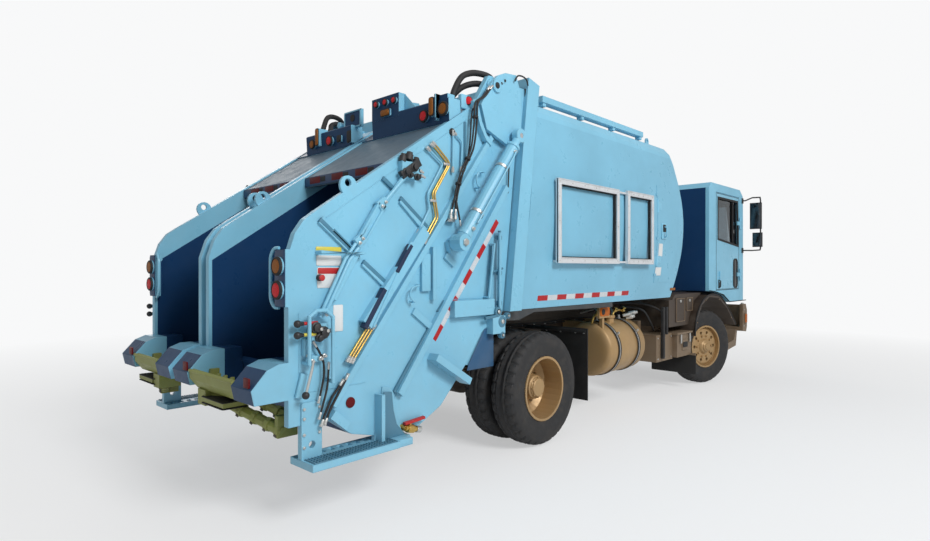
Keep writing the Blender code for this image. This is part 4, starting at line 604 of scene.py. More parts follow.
# teal that paints shade on angled flanges, the turnbuckle, the step grating and the post's recess
SHADED = painted("paint on the shaded flanges", rgb(0.060, 0.200, 0.300), 0.35, 0.14, 0.3)
# near-black navy that paints the shade in the channel slots
RECESS = painted("paint in deep shade", rgb(0.004, 0.016, 0.055), 0.5, 0.05, 0.0)
BLACK_GLASS = painted("tinted low window", rgb(0.008, 0.010, 0.013), 0.08, 0.0, 0.1)
# deep blue that paints shade on the lower front of the tailgate plate
SHADE_PANEL_BLUE = painted("deep blue paint", rgb(0.015, 0.085, 0.190), 0.35, 0.10, 0.1)
PLATE_WHITE = painted("plain sign plate", rgb(0.70, 0.72, 0.72), 0.30, 0.15, 0.2)

NODE_FINISH = {
    # start of the node's name: finish
    # frame, axles, knuckles, fenders and equipment box take the bronze with painted shade
    "chassis_frame": SHADED_BRONZE, "engine_block": CAST, "rear_axle": SHADED_BRONZE, "front_axle": SHADED_BRONZE,
    "front_bumper": BRONZE, "fuel_tank": GOLD, "battery_box": BRONZE, "hydraulic_tank": BRONZE,
    "equipment_box": SHADED_BRONZE, "prop_shaft": CAST,
    "cab_shell": BLUE_CAB, "windshield": GLASS, "dashboard": TRIM, "body_shell": BLUE_BODY,
    "hose_channel": BLUE, "mud_flap": FLAP, "front_fender": SHADED_BRONZE, "seat": SEAT, "mirror": TRIM,
    "skirt": SKIRT, "poster_frames": ALUMINIUM, "cab_door": BLUE, "cab_window": DOOR_GLASS,
    "knuckle": SHADED_BRONZE, "front_rim": GOLD, "front_tyre": TYRE, "rear_rims": GOLD, "rear_tyre": TYRE,
    "tailgate": BLUE_TAILGATE,
    # packers and sweeps inside the hoppers take painted navy shade
    "tailgate_roof": SLATE, "packer": NAVY_PAINTED_SHADE, "sweep": NAVY_PAINTED_SHADE, "cart_lifter": OLIVE, "lift_barrel": BLUE,
    "lift_rod": CHROME,
}


def dress_nodes():
    """Give every CAD node its finish, by the longest start of its name that the table holds."""
    for name, node in NODES.items():
        start = max((key for key in NODE_FINISH if name.startswith(key)), key=len)
        node.data.materials.clear()
        node.data.materials.append(NODE_FINISH[start])


# Wheels

TYRE_OUT = 0.525
TYRE_HALF = 0.135
BEAD = 0.302
LUGS = 34


def tyre_surface(form, centre, axis):
    """Tyre as radius and width over (turn, s), s running from bead to bead: a superellipse whose crown is
    cut by three straight grooves and, towards both shoulders, by slots that alternate round the tyre."""
    turn = np.linspace(0, 2 * np.pi, LUGS * 6, endpoint=False)[:, None]
    s = np.linspace(-1, 1, 41)[None, :]
    lean = np.sign(s) * np.abs(s) ** 0.85 * np.pi / 2 * 1.02
    width = TYRE_HALF * np.sign(s) * np.abs(np.sin(lean)) ** 0.62
    radius = BEAD + (TYRE_OUT - BEAD) * np.clip(np.cos(lean), 0, 1) ** 0.30
    width = np.where(np.abs(s) > 0.93, width * (1 - (np.abs(s) - 0.93) * 2.8), width)
    share = width / TYRE_HALF
    tread = np.abs(share) < 0.90
    grooves = np.zeros_like(share)
    for place in (-0.36, 0.0, 0.36):
        grooves = np.maximum(grooves, np.exp(-((share - place) / 0.055) ** 4))
    beat = (turn * LUGS / (2 * np.pi) + 0.5 * (share > 0) + share * 0.35) % 1.0
    slots = (beat < 0.28) & (np.abs(share) > 0.42)
    sipes = (beat > 0.62) & (beat < 0.78) & (np.abs(share) < 0.40)
    depth = 0.013 * grooves + 0.011 * slots + 0.005 * sipes
    radius = radius - np.where(tread, depth, 0.0) + 0 * turn
    wall = np.where(~tread & (np.abs(s) < 0.93), 0.0016 * (np.sin(radius * 260) > 0.6), 0.0)
    width = width + np.sign(s) * wall
    side, up = basis(axis)
    spoke = np.cos(turn)[..., None] * side + np.sin(turn)[..., None] * up
    points = np.asarray(centre) + width[..., None] * unit(axis) + radius[..., None] * spoke
    return form.grid(points, wrap_rows=True, wrap_columns=True)


def node_middle(name):
    """Middle of a CAD node, with x counted from the rear axle."""
    low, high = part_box(name)
    return np.array((low + high) / 2) - (AXLE_X, 0, 0)


def outward(joint, sign):
    """Direction of a wheel's axle, away from the truck."""
    axis = unit(JOINTS[joint]["axis"])
    return axis * (1 if axis[1] * sign > 0 else -1)


def wheels():
    """Tyres with tread, and on each rim its nuts, hub and grease cap."""
    for name, sign in SIDES:
        for node, body in ((f"front_tyre_{name}", f"front_wheel_{name}"),
                           (f"rear_tyre_outer_{name}", f"rear_wheel_{name}"),
                           (f"rear_tyre_inner_{name}", f"rear_wheel_{name}")):
            axis = outward(f"{body}_spin", sign)
            made = piece(f"tread_{node}", tyre_surface(Form(), node_middle(node), axis), body, TYRE,
                         28)
            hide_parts(node)
        front = f"front_wheel_{name}"
        axis = outward(f"{front}_spin", sign)
        middle = node_middle(f"front_tyre_{name}")
        face = middle + axis * 0.1
        nuts = bolts(Form(), round_places(middle + axis * 0.079, axis, 0.150, 10), axis, 0.015, 0.022)
        piece(f"front_nuts_{name}", nuts, front, GOLD)
        cap = turned(Form(), [(-0.03, 0.072), (0.03, 0.072), (0.038, 0.064), (0.042, 0.050), (0.052, 0.046),
                              (0.056, 0.0)], face, axis, 28)
        bolts(cap, round_places(middle + axis * 0.128, axis, 0.060, 6), axis, 0.006, 0.006)
        piece(f"front_hub_cap_{name}", cap, front, GOLD)
        rear = f"rear_wheel_{name}"
        axis = outward(f"{rear}_spin", sign)
        middle = node_middle(f"rear_tyre_outer_{name}")
        flange = middle + axis * -0.138
        nuts = bolts(Form(), round_places(flange, axis, 0.128, 10), axis, 0.015, 0.024)
        piece(f"rear_nuts_{name}", nuts, rear, GOLD)
        hub = turned(Form(), [(-0.02, 0.100), (0.165, 0.096), (0.172, 0.088), (0.182, 0.086),
                              (0.188, 0.078), (0.188, 0.0)], flange, axis, 32)
        bolts(hub, round_places(flange + axis * 0.172, axis, 0.0915, 8), axis, 0.007, 0.010)
        piece(f"rear_hub_{name}", hub, rear, GOLD)


# Load body

def crown(z):
    """Half width of the crowned side at height z: widest half way up, falling off with the square."""
    middle = (BODY_FLOOR_Z + BODY_TOP_Z) / 2
    reach = (BODY_TOP_Z - BODY_FLOOR_Z) / 2
    return BODY_HALF - BODY_CROWN * ((z - middle) / reach) ** 2


# Front edge of the side sheets, as (z, x)
FRONT_EDGE = [(1.27, 2.845), (1.54, 2.94), (1.70, 2.99), (1.85, 3.03), (2.05, 3.055), (2.25, 3.06),
              (2.47, 3.03), (2.70, 2.965), (2.85, 2.90), (2.97, 2.86), (3.09, 2.79)]


def skin(form, sign, z0, z1, x0, x1, proud=SKIN_PROUD, thick=0.004, steps=24):
    """Sheet on the crowned side over (x, z): outer face at crown(z) + proud, inner face thick inside it.
    It is bounded by x0 and x1, each a number or a function of z."""
    z = np.linspace(z0, z1, steps)
    t = np.linspace(0, 1, 10)[:, None]
    start, end = (bound(z) if callable(bound) else np.full(steps, bound) for bound in (x0, x1))
    x = start[None] * (1 - t) + end[None] * t
    outer = np.stack([x, sign * (crown(z) + proud) + 0 * x, z + 0 * x], -1)
    inner = outer - (0, sign * thick, 0)
    inner = inner[::-1]
    return form.grid(np.concatenate([outer, inner]).transpose(1, 0, 2), wrap_columns=True, cap=True)


def body_skins():
    """Smooth crowned side sheets, and on each the access door with its three hinge straps."""
    edge_z, edge_x = np.array(FRONT_EDGE).T
    for name, sign in SIDES:
        side = skin(Form(), sign, BODY_FLOOR_Z + 0.002, 3.04,
                    lambda z: OPENING_X + 0.17 + (z - BODY_FLOOR_Z) * LEAN,
                    lambda z: np.interp(z, edge_z, edge_x) - 0.004)
        piece(f"side_skin_{name}", side, "chassis", BLUE_SKIN, 60)
        door = skin(Form(), sign, 1.47, 2.65, 2.30, 2.86, SKIN_PROUD + 0.004)
        for z0, z1 in ((1.55, 1.58), (1.99, 2.02), (2.52, 2.55)):
            skin(door, sign, z0, z1, 2.272, 2.33, SKIN_PROUD + 0.010, 0.01, 3)
        piece(f"access_door_{name}", door, "chassis", BLUE_SKIN, 40)


def tape_strip(sign, blocks=6, x0=-0.048, x1=1.700, z0=1.337, z1=1.387):
    """Red blocks and the silver between them, one form for each colour."""
    red, silver = Form(), Form()
    step = (x1 - x0) / (2 * blocks - 1)
    for k in range(2 * blocks - 1):
        low = x0 + k * step
        skin(red if k % 2 == 0 else silver, sign, z0, z1, low, low + step, SKIN_PROUD + 0.0015, 0.002, 4)
    return red, silver


# Soft pieces

def hose(name, points, diameter, body, ends=True):
    """Free rubber hose through the points, with crimped ferrules."""
    path = smooth_path(points, 8)
    made = piece(name, tube(Form(), path, diameter / 2, 12), body, HOSE, angle=60)
    if ends:
        cuffs = Form()
        radius = diameter * 0.5
        for at, toward in ((path[0], path[1] - path[0]), (path[-1], path[-2] - path[-1])):
            turned(cuffs, [(-0.014, radius * 0.8), (-0.004, radius * 1.25), (0.030, radius * 1.25),
                           (0.034, radius * 1.05), (0.034, radius * 0.9), (-0.014, radius * 0.5)], at,
                   toward, 12, ring=True)
            turned(cuffs, [(-0.012, radius * 1.5), (0.0, radius * 1.5)], at, toward, 6)
        piece(f"{name}_ends", cuffs, body, ZINC)


def cushion(low, high, power=5):
    """Stuffed block between two corners: a ball pushed out along its rays until
    |x|^power + |y|^power + |z|^power = 1, scaled to the block, and dimpled along two seams across it."""
    low, high = np.asarray(low, float), np.asarray(high, float)
    u = np.linspace(-np.pi / 2, np.pi / 2, 25)[:, None]
    v = np.linspace(-np.pi, np.pi, 48, endpoint=False)[None, :]
    ray = np.stack([np.cos(u) * np.cos(v), np.cos(u) * np.sin(v), np.sin(u) + 0 * v], -1)
    puff = ray * np.sum(np.abs(ray) ** power, -1, keepdims=True) ** (-1 / power)
    seam = np.exp(-((np.abs(puff[..., 1:2]) - 0.55) / 0.06) ** 2)
    puff = puff * (1 - 0.05 * seam)
    return (low + high) / 2 + puff * (high - low) / 2


def seats():
    """Cushions and headrests of the two seats in place of their plain solids, on moulded bases, and belts."""
    for name, sign in SIDES:
        node = f"seat_{name}"
        low, high = (np.array(corner) - (AXLE_X, 0, 0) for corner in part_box(node))
        y0, y1 = low[1] + 0.01, high[1] - 0.01
        pads = Form()
        pads.grid(cushion((4.42, y0, 1.575), (4.85, y1, 1.70)), wrap_columns=True)
        back = cushion((4.30, y0, 1.66), (4.42, y1, 2.24))
        head = cushion((4.29, y0 + 0.11, 2.24), (4.37, y1 - 0.11, 2.40))
        for pad in (back, head):
            pads.grid(lean(pad, (4.36, 1.66), -6), wrap_columns=True)
        made = piece(f"cushions_{name}", pads, "chassis", SEAT, 60)
        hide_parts(node)
        base = Form()
        block(base, (4.44, y0 + 0.03, low[2]), (4.74, y1 - 0.03, low[2] + 0.05), "z", 0.02)
        block(base, (4.48, y0 + 0.08, low[2] + 0.04), (4.70, y1 - 0.08, 1.56), "z", 0.03)
        block(base, (4.40, y0 + 0.01, 1.55), (4.83, y1 - 0.01, 1.59), "z", 0.03)
        for y in (y0 + 0.15, y1 - 0.15):
            tube(base, [(4.325, y, 2.15), (4.315, y, 2.30)], 0.007)
        piece(f"seat_base_{name}", base, "chassis", TRIM)
        belt = Form()
        tube(belt, smooth_path([(4.30, sign * 1.05, 2.45), (4.31, sign * 1.06, 2.0),
                                (4.36, sign * 1.05, 1.55)]), 0.012, 8)
        piece(f"belt_{name}", belt, "chassis", SEAL)


def lean(points, pivot, degrees):
    """Points turned in the side view about (x, z)."""
    turn = math.radians(degrees)
    x = points[..., 0] - pivot[0]
    z = points[..., 2] - pivot[1]
    out = points.copy()
    out[..., 0] = pivot[0] + x * math.cos(turn) + z * math.sin(turn)
    out[..., 2] = pivot[1] - x * math.sin(turn) + z * math.cos(turn)
    return out


# Tailgates

PIPE_RUNS = [
    # paint, radius, y out from the plate, points as (x, z)
    ("brass", 0.0075, 0.026, [(-1.425, 2.572), (-1.395, 2.560), (-1.262, 2.462), (-1.250, 2.435),
                              (-1.415, 2.202), (-1.376, 2.031), (-1.513, 1.842)]),
    ("brass", 0.0075, 0.026, [(-1.405, 2.590), (-1.375, 2.575), (-1.238, 2.470), (-1.228, 2.440),
                              (-1.392, 2.202), (-1.352, 2.026), (-1.490, 1.830)]),
    ("brass", 0.0075, 0.034, [(-1.967, 1.245), (-2.150, 1.018)]),
    ("brass", 0.0075, 0.034, [(-1.990, 1.252), (-2.172, 1.026)]),
    ("brass", 0.0075, 0.034, [(-2.012, 1.259), (-2.192, 1.034)]),
    ("blue", 0.0090, 0.024, [(-1.461, 2.541), (-1.300, 2.442), (-1.461, 2.197), (-1.441, 2.084),
                             (-1.560, 1.900)]),
    ("blue", 0.0080, 0.020, [(-1.181, 2.713), (-1.188, 2.402)]),
    ("blue", 0.0080, 0.020, [(-1.174, 2.709), (-1.079, 2.649), (-1.094, 2.414)]),
]
HOSE_RUNS = [
    # name, diameter, y out from the plate, points as (x, z)
    ("lift_hose_a", 0.016, 0.062, [(-0.800, 3.135), (-0.887, 3.037), (-0.972, 2.968), (-0.985, 2.802),
                                   (-1.025, 2.590), (-1.129, 2.415), (-1.186, 2.269), (-1.215, 2.167),
                                   (-1.250, 2.062)]),
    ("lift_hose_b", 0.016, 0.066, [(-0.770, 3.147), (-0.857, 3.049), (-0.942, 2.982), (-0.957, 2.814),
                                   (-0.997, 2.602), (-1.101, 2.427), (-1.160, 2.281), (-1.190, 2.177),
                                   (-1.205, 2.066)]),
    ("lift_hose_c", 0.013, 0.040, [(-0.960, 2.960), (-0.992, 2.870), (-1.012, 2.640), (-1.060, 2.450),
                                   (-1.130, 2.330), (-1.168, 2.210), (-1.185, 2.070)]),
    ("branch_hose", 0.015, 0.052, [(-1.182, 2.190), (-1.168, 2.120), (-1.150, 2.055), (-1.132, 1.985)]),
    ("lower_hose_a", 0.017, 0.040, [(-2.234, 0.904), (-2.268, 0.862), (-2.314, 0.810), (-2.364, 0.716),
                                    (-2.392, 0.650)]),
    ("lower_hose_b", 0.017, 0.044, [(-2.196, 0.937), (-2.225, 0.890), (-2.270, 0.825), (-2.330, 0.735),
                                    (-2.368, 0.655)]),
    ("valve_hose_a", 0.014, 0.048, [(-2.343, 1.029), (-2.347, 0.960), (-2.356, 0.880), (-2.385, 0.780),
                                    (-2.412, 0.700)]),
    ("valve_hose_b", 0.014, 0.036, [(-2.445, 1.172), (-2.410, 1.120), (-2.376, 1.050), (-2.372, 0.960),
                                    (-2.388, 0.880), (-2.410, 0.800)]),
]
PLATES = [
    # finish, x from, x to, z from, z to: bare plates where the photograph has text
    ("yellow", -2.408, -2.214, 1.738, 1.778),
    ("white", -2.404, -2.214, 1.655, 1.722),
    ("white", -2.398, -2.214, 1.512, 1.646),
    ("red", -2.394, -2.218, 1.603, 1.642),
    ("white", -2.278, -2.202, 1.226, 1.400),
]


def at_side(sign, points, out):
    """(x, z) points put out from the tailgate's outer plate."""
    return [(x, sign * (SHELL_HALF + out), z) for x, z in points]


def tailgate_pipes(name, sign):
    """Rigid pipes with a nut at each end."""
    runs = {"brass": Form(), "blue": Form()}
    nuts = Form()
    for paint, radius, out, points in PIPE_RUNS:
        path = bent(at_side(sign, points, out))
        tube(runs[paint], path, radius)
        for end, inward in ((path[0], path[1] - path[0]), (path[-1], path[-2] - path[-1])):
            turned(nuts, [(-0.012, radius * 1.7), (0.022, radius * 1.7), (0.024, radius * 1.3),
                          (0.034, radius * 1.3)], end, inward, 6)
    pieces(name, f"tailgate_{name}", pipes=(runs["brass"], BRASS), painted_pipes=(runs["blue"], BLUE))
    for x, z in ((-1.262, 2.445), (-1.405, 2.150)):
        block(nuts, (x - 0.035, sign * SHELL_HALF, z - 0.010),
              (x + 0.030, sign * (SHELL_HALF + 0.035), z + 0.010), "y", 0.005)
    piece(f"pipe_nuts_{name}", nuts, f"tailgate_{name}", ZINC)


def tailgate_hoses(name, sign):
    """Black hoses from the hinge down the plate, to the cylinder and to the valves, with their ties."""
    for run, diameter, out, points in HOSE_RUNS:
        hose(f"{run}_{name}", at_side(sign, points, out), diameter, f"tailgate_{name}")
    ties = Form()
    for x, z, dx, dz in ((-0.968, 2.860, 0.0, 1.0), (-1.060, 2.510, 0.4, 1.0), (-1.165, 2.300, 0.35, 1.0)):
        turned(ties, [(-0.010, 0.022), (-0.007, 0.025), (0.007, 0.025), (0.010, 0.022)],
               (x, sign * (SHELL_HALF + 0.060), z), (dx, 0, dz), 16)
    piece(f"hose_ties_{name}", ties, f"tailgate_{name}", SEAL)


def turnbuckle(name, sign, bright):
    """Threaded rods ahead of the tailgate's front edge, and the eye, hook and pins of the lower latch."""
    out = sign * SHELL_HALF
    screw = Form()
    tube(screw, at_side(sign, [(-0.640, 1.960), (-0.650, 1.300)], 0.040), 0.014, 12)
    tube(screw, at_side(sign, [(-0.722, 1.850), (-0.765, 1.390)], 0.020), 0.010)
    for z in (1.900, 1.600, 1.345):
        turned(screw, [(-0.018, 0.022), (-0.015, 0.026), (0.015, 0.026), (0.018, 0.022)],
               at_side(sign, [(-0.645, z)], 0.040)[0], (0, 0, 1), 6)
    tube(screw, at_side(sign, [(-0.760, 1.602), (-0.600, 1.640)], 0.040), 0.010)
    for x, z, radius in ((-0.690, 1.275, 0.042), (-0.640, 1.190, 0.050), (-0.560, 1.235, 0.028),
                         (-0.635, 1.075, 0.030)):
        turned(screw, [(0.012, radius * 0.55), (0.012, radius), (0.040, radius), (0.046, radius * 0.88),
                       (0.046, radius * 0.55)], (x, out + sign * 0.030, z), (0, sign, 0), 20, ring=True)
        turned(bright, [(0, radius * 0.4), (0.060, radius * 0.4), (0.064, radius * 0.25), (0.064, 0.0)],
               (x, out + sign * 0.020, z), (0, sign, 0), 6)
    tube(screw, at_side(sign, [(-0.850, 1.228), (-0.700, 1.240)], 0.060), 0.014, 12)
    strap(screw, (-0.640, 1.150), (-0.625, 1.060), 0.030, out + sign * 0.045, out + sign * 0.065, 0.004)
    strap(screw, (-0.560, 1.235), (-0.640, 1.190), 0.034, out + sign * 0.05, out + sign * 0.068, 0.004)
    # turnbuckle in the painted shade teal
    piece(f"turnbuckle_{name}", screw, f"tailgate_{name}", SHADED)


def tailgate_valves(name, sign):
    """Valve blocks with solenoids and connectors, levers with coloured sleeves, and the stop button."""
    out = sign * SHELL_HALF
    body = f"tailgate_{name}"
    dark, bright, blue, knobs = Form(), Form(), Form(), Form()
    for x, z, radius in ((-1.715, 2.405, 0.026), (-1.655, 2.425, 0.030), (-1.590, 2.395, 0.026)):
        turned(dark, [(0, radius), (0.040, radius), (0.048, radius * 0.75), (0.058, radius * 0.75),
                      (0.060, 0.010)], (x, out + sign * 0.030, z), (0.25, 0, 1), 16)
    for x, z, radius in ((-1.700, 2.330, 0.030), (-1.620, 2.375, 0.034), (-1.595, 2.305, 0.026),
                         (-1.66, 2.31, 0.020)):
        turned(dark, [(0, radius), (0.016, radius), (0.018, radius * 0.7), (0.036, radius * 0.7),
                      (0.038, radius * 0.4)], (x, out + sign * 0.048, z), (0, sign, 0), 16)
    for x, z in ((-1.560, 2.360), (-1.545, 2.325)):
        turned(bright, [(0, 0.014), (0.022, 0.014), (0.024, 0.010), (0.045, 0.010)],
               (x, out + sign * 0.040, z), (1, 0, -0.3), 6)
    strap(dark, (-1.735, 2.300), (-1.560, 2.420), 0.060, out + sign * 0.02, out + sign * 0.060, 0.008)
    for x, z, radius in ((-2.450, 1.270, 0.036), (-2.395, 1.235, 0.040), (-2.425, 1.205, 0.026)):
        turned(dark, [(0, radius), (0.026, radius), (0.030, radius * 0.75), (0.046, radius * 0.7),
                      (0.050, radius * 0.4)], (x, out + sign * 0.050, z), (0, sign, 0), 18)
    turned(bright, [(0, 0.015), (0.035, 0.015), (0.037, 0.010), (0.06, 0.010)],
           (-2.36, out + sign * 0.045, 1.235), (1, 0, 0.2), 8)
    for x, z in ((-2.432, 1.262), (-2.385, 1.248)):
        turned(bright, [(0, 0.011), (0.010, 0.011), (0.012, 0.0)], (x, out + sign * 0.098, z), (0, sign, 0),
               6)
    # brackets and joints of the hand lever
    strap(blue, (-2.490, 1.200), (-2.490, 1.095), 0.045, out, out + sign * 0.045, 0.006)
    strap(blue, (-2.500, 0.985), (-2.540, 0.835), 0.050, out, out + sign * 0.024, 0.008)
    strap(blue, (-2.455, 1.075), (-2.370, 1.060), 0.040, out, out + sign * 0.030, 0.005)
    for x, z in ((-2.488, 1.100), (-2.461, 1.060), (-2.400, 1.070), (-2.372, 1.085), (-2.480, 1.048)):
        turned(bright, [(0, 0.015), (0.014, 0.015), (0.018, 0.009), (0.030, 0.009), (0.031, 0.0)],
               (x, out + sign * 0.035, z), (0, sign, 0), 10)
    lever = smooth_path(at_side(sign, [(-2.478, 1.062), (-2.488, 1.010), (-2.510, 0.935), (-2.530, 0.862)],
                                0.082))
    tube(bright, lever, 0.009)
    ball(knobs, lever[-1], 0.024)
    block(bright, (-1.260, out, 2.000), (-1.180, out + sign * 0.045, 2.035), "y", 0.012, 0.006)
    for x, lift in ((-1.250, 0.062), (-1.205, 0.066), (-1.185, 0.040)):
        turned(bright, [(0, 0.015), (0.020, 0.015), (0.022, 0.012), (0.045, 0.012)],
               (x, out + sign * lift, 2.02), (0, 0, 1), 6)
    sleeves = {"red": Form(), "yellow": Form()}
    for colour, z, reach in (("red", 1.300, -2.487), ("yellow", 1.230, -2.500)):
        y = out + sign * (0.060 if sign < 0 else 0.155)
        ball(knobs, (-2.573, y, z), 0.024)
        turned(knobs, [(0, 0.017), (0.028, 0.011)], (-2.560, y, z), (1, 0, 0), 14)
        turned(sleeves[colour], [(0, 0.011), (reach + 2.585, 0.011)], (-2.533, y, z), (1, 0, 0), 12)
        tube(bright, [(-2.545, y, z), (-2.485, y, z - 0.006), (-2.440, out + sign * 0.060, z - 0.012)], 0.006)
    turned(knobs, [(0, 0.022), (0.018, 0.022), (0.022, 0.017)], (-2.384, out, 1.579), (0, sign, 0), 18)
    turned(sleeves["red"], [(0, 0.016), (0.012, 0.020), (0.020, 0.020), (0.023, 0.014), (0.023, 0.0)],
           (-2.384, out + sign * 0.020, 1.579), (0, sign, 0), 18)
    turnbuckle(name, sign, bright)
    pieces(name, body, valve_bodies=(dark, TRIM), valve_metal=(bright, ZINC), valve_brackets=(blue, BLUE),
           knobs=(knobs, TRIM), red_sleeves=(sleeves["red"], PLASTIC_RED),
           yellow_sleeve=(sleeves["yellow"], YELLOW))


def tailgate_links(name, sign):
    """Linkage between the two valves: rods, forked yoke with its pins, and the rods that go on down."""
    near, far = sign * (SHELL_HALF + 0.012), sign * (SHELL_HALF + 0.052)
    blue, pins = Form(), Form()
    y = sign * (SHELL_HALF + 0.034)
    tube(blue, [(-1.640, y, 2.350), (-1.885, y, 2.098)], 0.015, 12)
    tube(blue, [(-2.080, y, 1.800), (-2.175, y, 1.690), (-2.355, y, 1.360)], 0.014, 12)
    tube(blue, [(-2.110, y, 1.822), (-2.205, y, 1.702), (-2.402, y, 1.330)], 0.012, 12)
    for shift in (-0.026, 0.026):
        strap(blue, (-1.905 + shift, 2.085 - shift * 0.3), (-2.075 + shift, 1.835 - shift * 0.3), 0.018,
              near, far, 0.004)
    strap(blue, (-1.865, 2.110), (-1.935, 2.060), 0.075, near, far, 0.006)
    strap(blue, (-2.060, 1.850), (-2.120, 1.800), 0.070, near, far, 0.006)
    for x, z in ((-1.885, 2.098), (-1.915, 2.068), (-2.080, 1.838), (-2.105, 1.808), (-2.365, 1.345)):
        turned(pins, [(0, 0.012), (0.010, 0.012), (0.013, 0.007), (0.020, 0.007), (0.020, 0.0)],
               (x, far, z), (0, sign, 0), 8)
    pieces(name, f"tailgate_{name}", links=(blue, BLUE), link_pins=(pins, ZINC))


DARK_RIBS = [
    # flanges on the outer plate, their shade painted teal, from (x, z) to (x, z), width
    ((-2.387, 1.950), (-2.085, 1.712), 0.030), ((-1.878, 2.271), (-1.765, 2.195), 0.030),
    ((-1.718, 2.146), (-1.455, 1.950), 0.030), ((-2.290, 1.888), (-2.120, 1.752), 0.026),
    ((-2.048, 1.685), (-1.824, 1.518), 0.030), ((-1.060, 1.617), (-1.339, 1.301), 0.034),
    ((-1.431, 1.183), (-1.772, 0.754), 0.034),
]
# channel slots, as (x, z) to (x, z) and width, their shade painted near-black navy
CHANNEL_SLOTS = [((-1.653, 1.807), (-1.790, 1.611), 0.030), ((-1.896, 1.496), (-2.067, 1.238), 0.034)]
SEAMS = [
    # welds on the outer plate, from (x, z) to (x, z)
    ((-0.60, 2.235), (-1.80, 0.66)), ((-2.53, 1.36), (-2.53, 0.99)), ((-2.50, 0.86), (-2.02, 0.86)),
    ((-1.245, 1.395), (-0.70, 1.395)), ((-1.245, 1.245), (-0.74, 1.245)), ((-1.01, 2.84), (-2.33, 1.965)),
]
PLATE_BOLTS = [(-2.500, 0.760), (-2.500, 0.700), (-2.500, 0.600), (-2.500, 0.520), (-2.390, 0.760),
               (-2.390, 0.600), (-1.920, 0.740), (-1.840, 0.620), (-1.840, 0.700), (-0.700, 1.205),
               (-0.700, 1.125), (-0.735, 1.205), (-0.735, 1.125)]


def tailgate_plates(name, sign):
    """Bare plates, tape, reflector, hoops, covers, flanges and welds of the outer plate, with painted shade:
    teal on the flanges, deep blue on a lower panel, black in a hole and a slot, near-black in the channel
    slots.
    """
    out = sign * SHELL_HALF
    body = f"tailgate_{name}"
    finishes = {"white": PLATE_WHITE, "yellow": YELLOW, "red": PLASTIC_RED}
    forms = {colour: Form() for colour in finishes}
    for colour, x0, x1, z0, z1 in PLATES:
        proud = 0.0036 if colour == "red" else 0.0026
        block(forms[colour], (x0, out, z0), (x1, out + sign * proud, z1), "y", 0.008, 0.0008)
    for colour, form in forms.items():
        piece(f"{colour}_plates_{name}", form, body, finishes[colour])
    # deep blue sheet over the plate's lower front: painted shade
    panel = Form()
    plate(panel, [(-0.790, 1.135), (-0.675, 1.135), (-0.675, 0.810), (-1.005, 0.810), (-0.985, 0.865)], out,
          out + sign * 0.0024, "y", 0.001)
    piece(f"shaded_panel_{name}", panel, body, SHADE_PANEL_BLUE)
    start, end = np.array((-0.622, 2.046)), np.array((-1.372, 1.094))
    step = (end - start) / 9
    tapes = {0: Form(), 1: Form()}
    for k in range(9):
        strap(tapes[k % 2], start + step * k, start + step * (k + 1), 0.046, out, out + sign * 0.0022, 0.0006)
    pieces(name, body, tape_red=(tapes[0], RED_TAPE), tape_silver=(tapes[1], SILVER_TAPE))
    disc = turned(Form(), [(0, 0.036), (0.006, 0.036), (0.009, 0.031), (0.009, 0.0)], (-2.144, out, 0.744),
                  (0, sign, 0), 28)
    piece(f"side_reflector_{name}", disc, body, DARK_RED_LENS)
    blue, dark, shaded, slots = Form(), Form(), Form(), Form()
    for points in ([(-0.842, 2.434), (-0.905, 2.425), (-0.935, 2.375), (-0.928, 2.325), (-0.905, 2.300)],
                   [(-1.563, 1.515), (-1.625, 1.500), (-1.652, 1.461), (-1.645, 1.425), (-1.615, 1.395)]):
        ends = [[(x, sign * (SHELL_HALF - 0.002), z)] for x, z in (points[0], points[-1])]
        tube(blue, smooth_path(ends[0] + at_side(sign, points, 0.045) + ends[1], 5), 0.007)
    fin = [(-1.888, 0.780), (-1.815, 0.770), (-1.800, 0.640), (-1.770, 0.535), (-1.705, 0.462),
           (-1.690, 0.430), (-1.888, 0.430)]
    # fin and flanges in the painted shade teal
    plate(shaded, fin, sign * (SHELL_HALF + 0.030), sign * (SHELL_HALF + 0.038), "y", 0.003)
    block(blue, (-1.700, sign * (SHELL_HALF + 0.010), 0.395), (-1.835, sign * (SHELL_HALF + 0.130), 0.446),
          "y", 0.004)
    strap(blue, (-1.650, 1.830), (-1.997, 1.240), 0.020, out + sign * 0.05, out + sign * 0.068, 0.006)
    block(blue, (-1.518, out, 1.467), (-1.430, out + sign * 0.028, 1.749))
    block(shaded, (-1.044, out, 2.492), (-1.022, out + sign * 0.012, 2.820), "y", 0.008)
    for start, end in SEAMS:
        tube(blue, [(start[0], out, start[1]), (end[0], out, end[1])], 0.0035, 6)
    for start, end, wide in DARK_RIBS:
        strap(shaded, start, end, wide, out, out + sign * 0.022, 0.004)
    # slots painted near-black as shade
    for start, end, wide in CHANNEL_SLOTS:
        strap(slots, start, end, wide, out + sign * 0.02, out + sign * 0.0695, 0.004)
    # black disc and strap that paint the shade in a hole and a slot
    turned(dark, [(0, 0.030), (0.008, 0.030), (0.010, 0.022), (0.004, 0.020), (0.004, 0.0)],
           (-1.178, out, 2.712), (0, sign, 0), 20)
    strap(dark, (-0.492, 2.536), (-0.509, 2.292), 0.014, out + sign * 0.02, out + sign * 0.028)
    pieces(name, body, side_fittings=(blue, BLUE), shaded_flanges=(shaded, SHADED), side_slots=(dark, SEAL),
           channel_slots=(slots, RECESS))


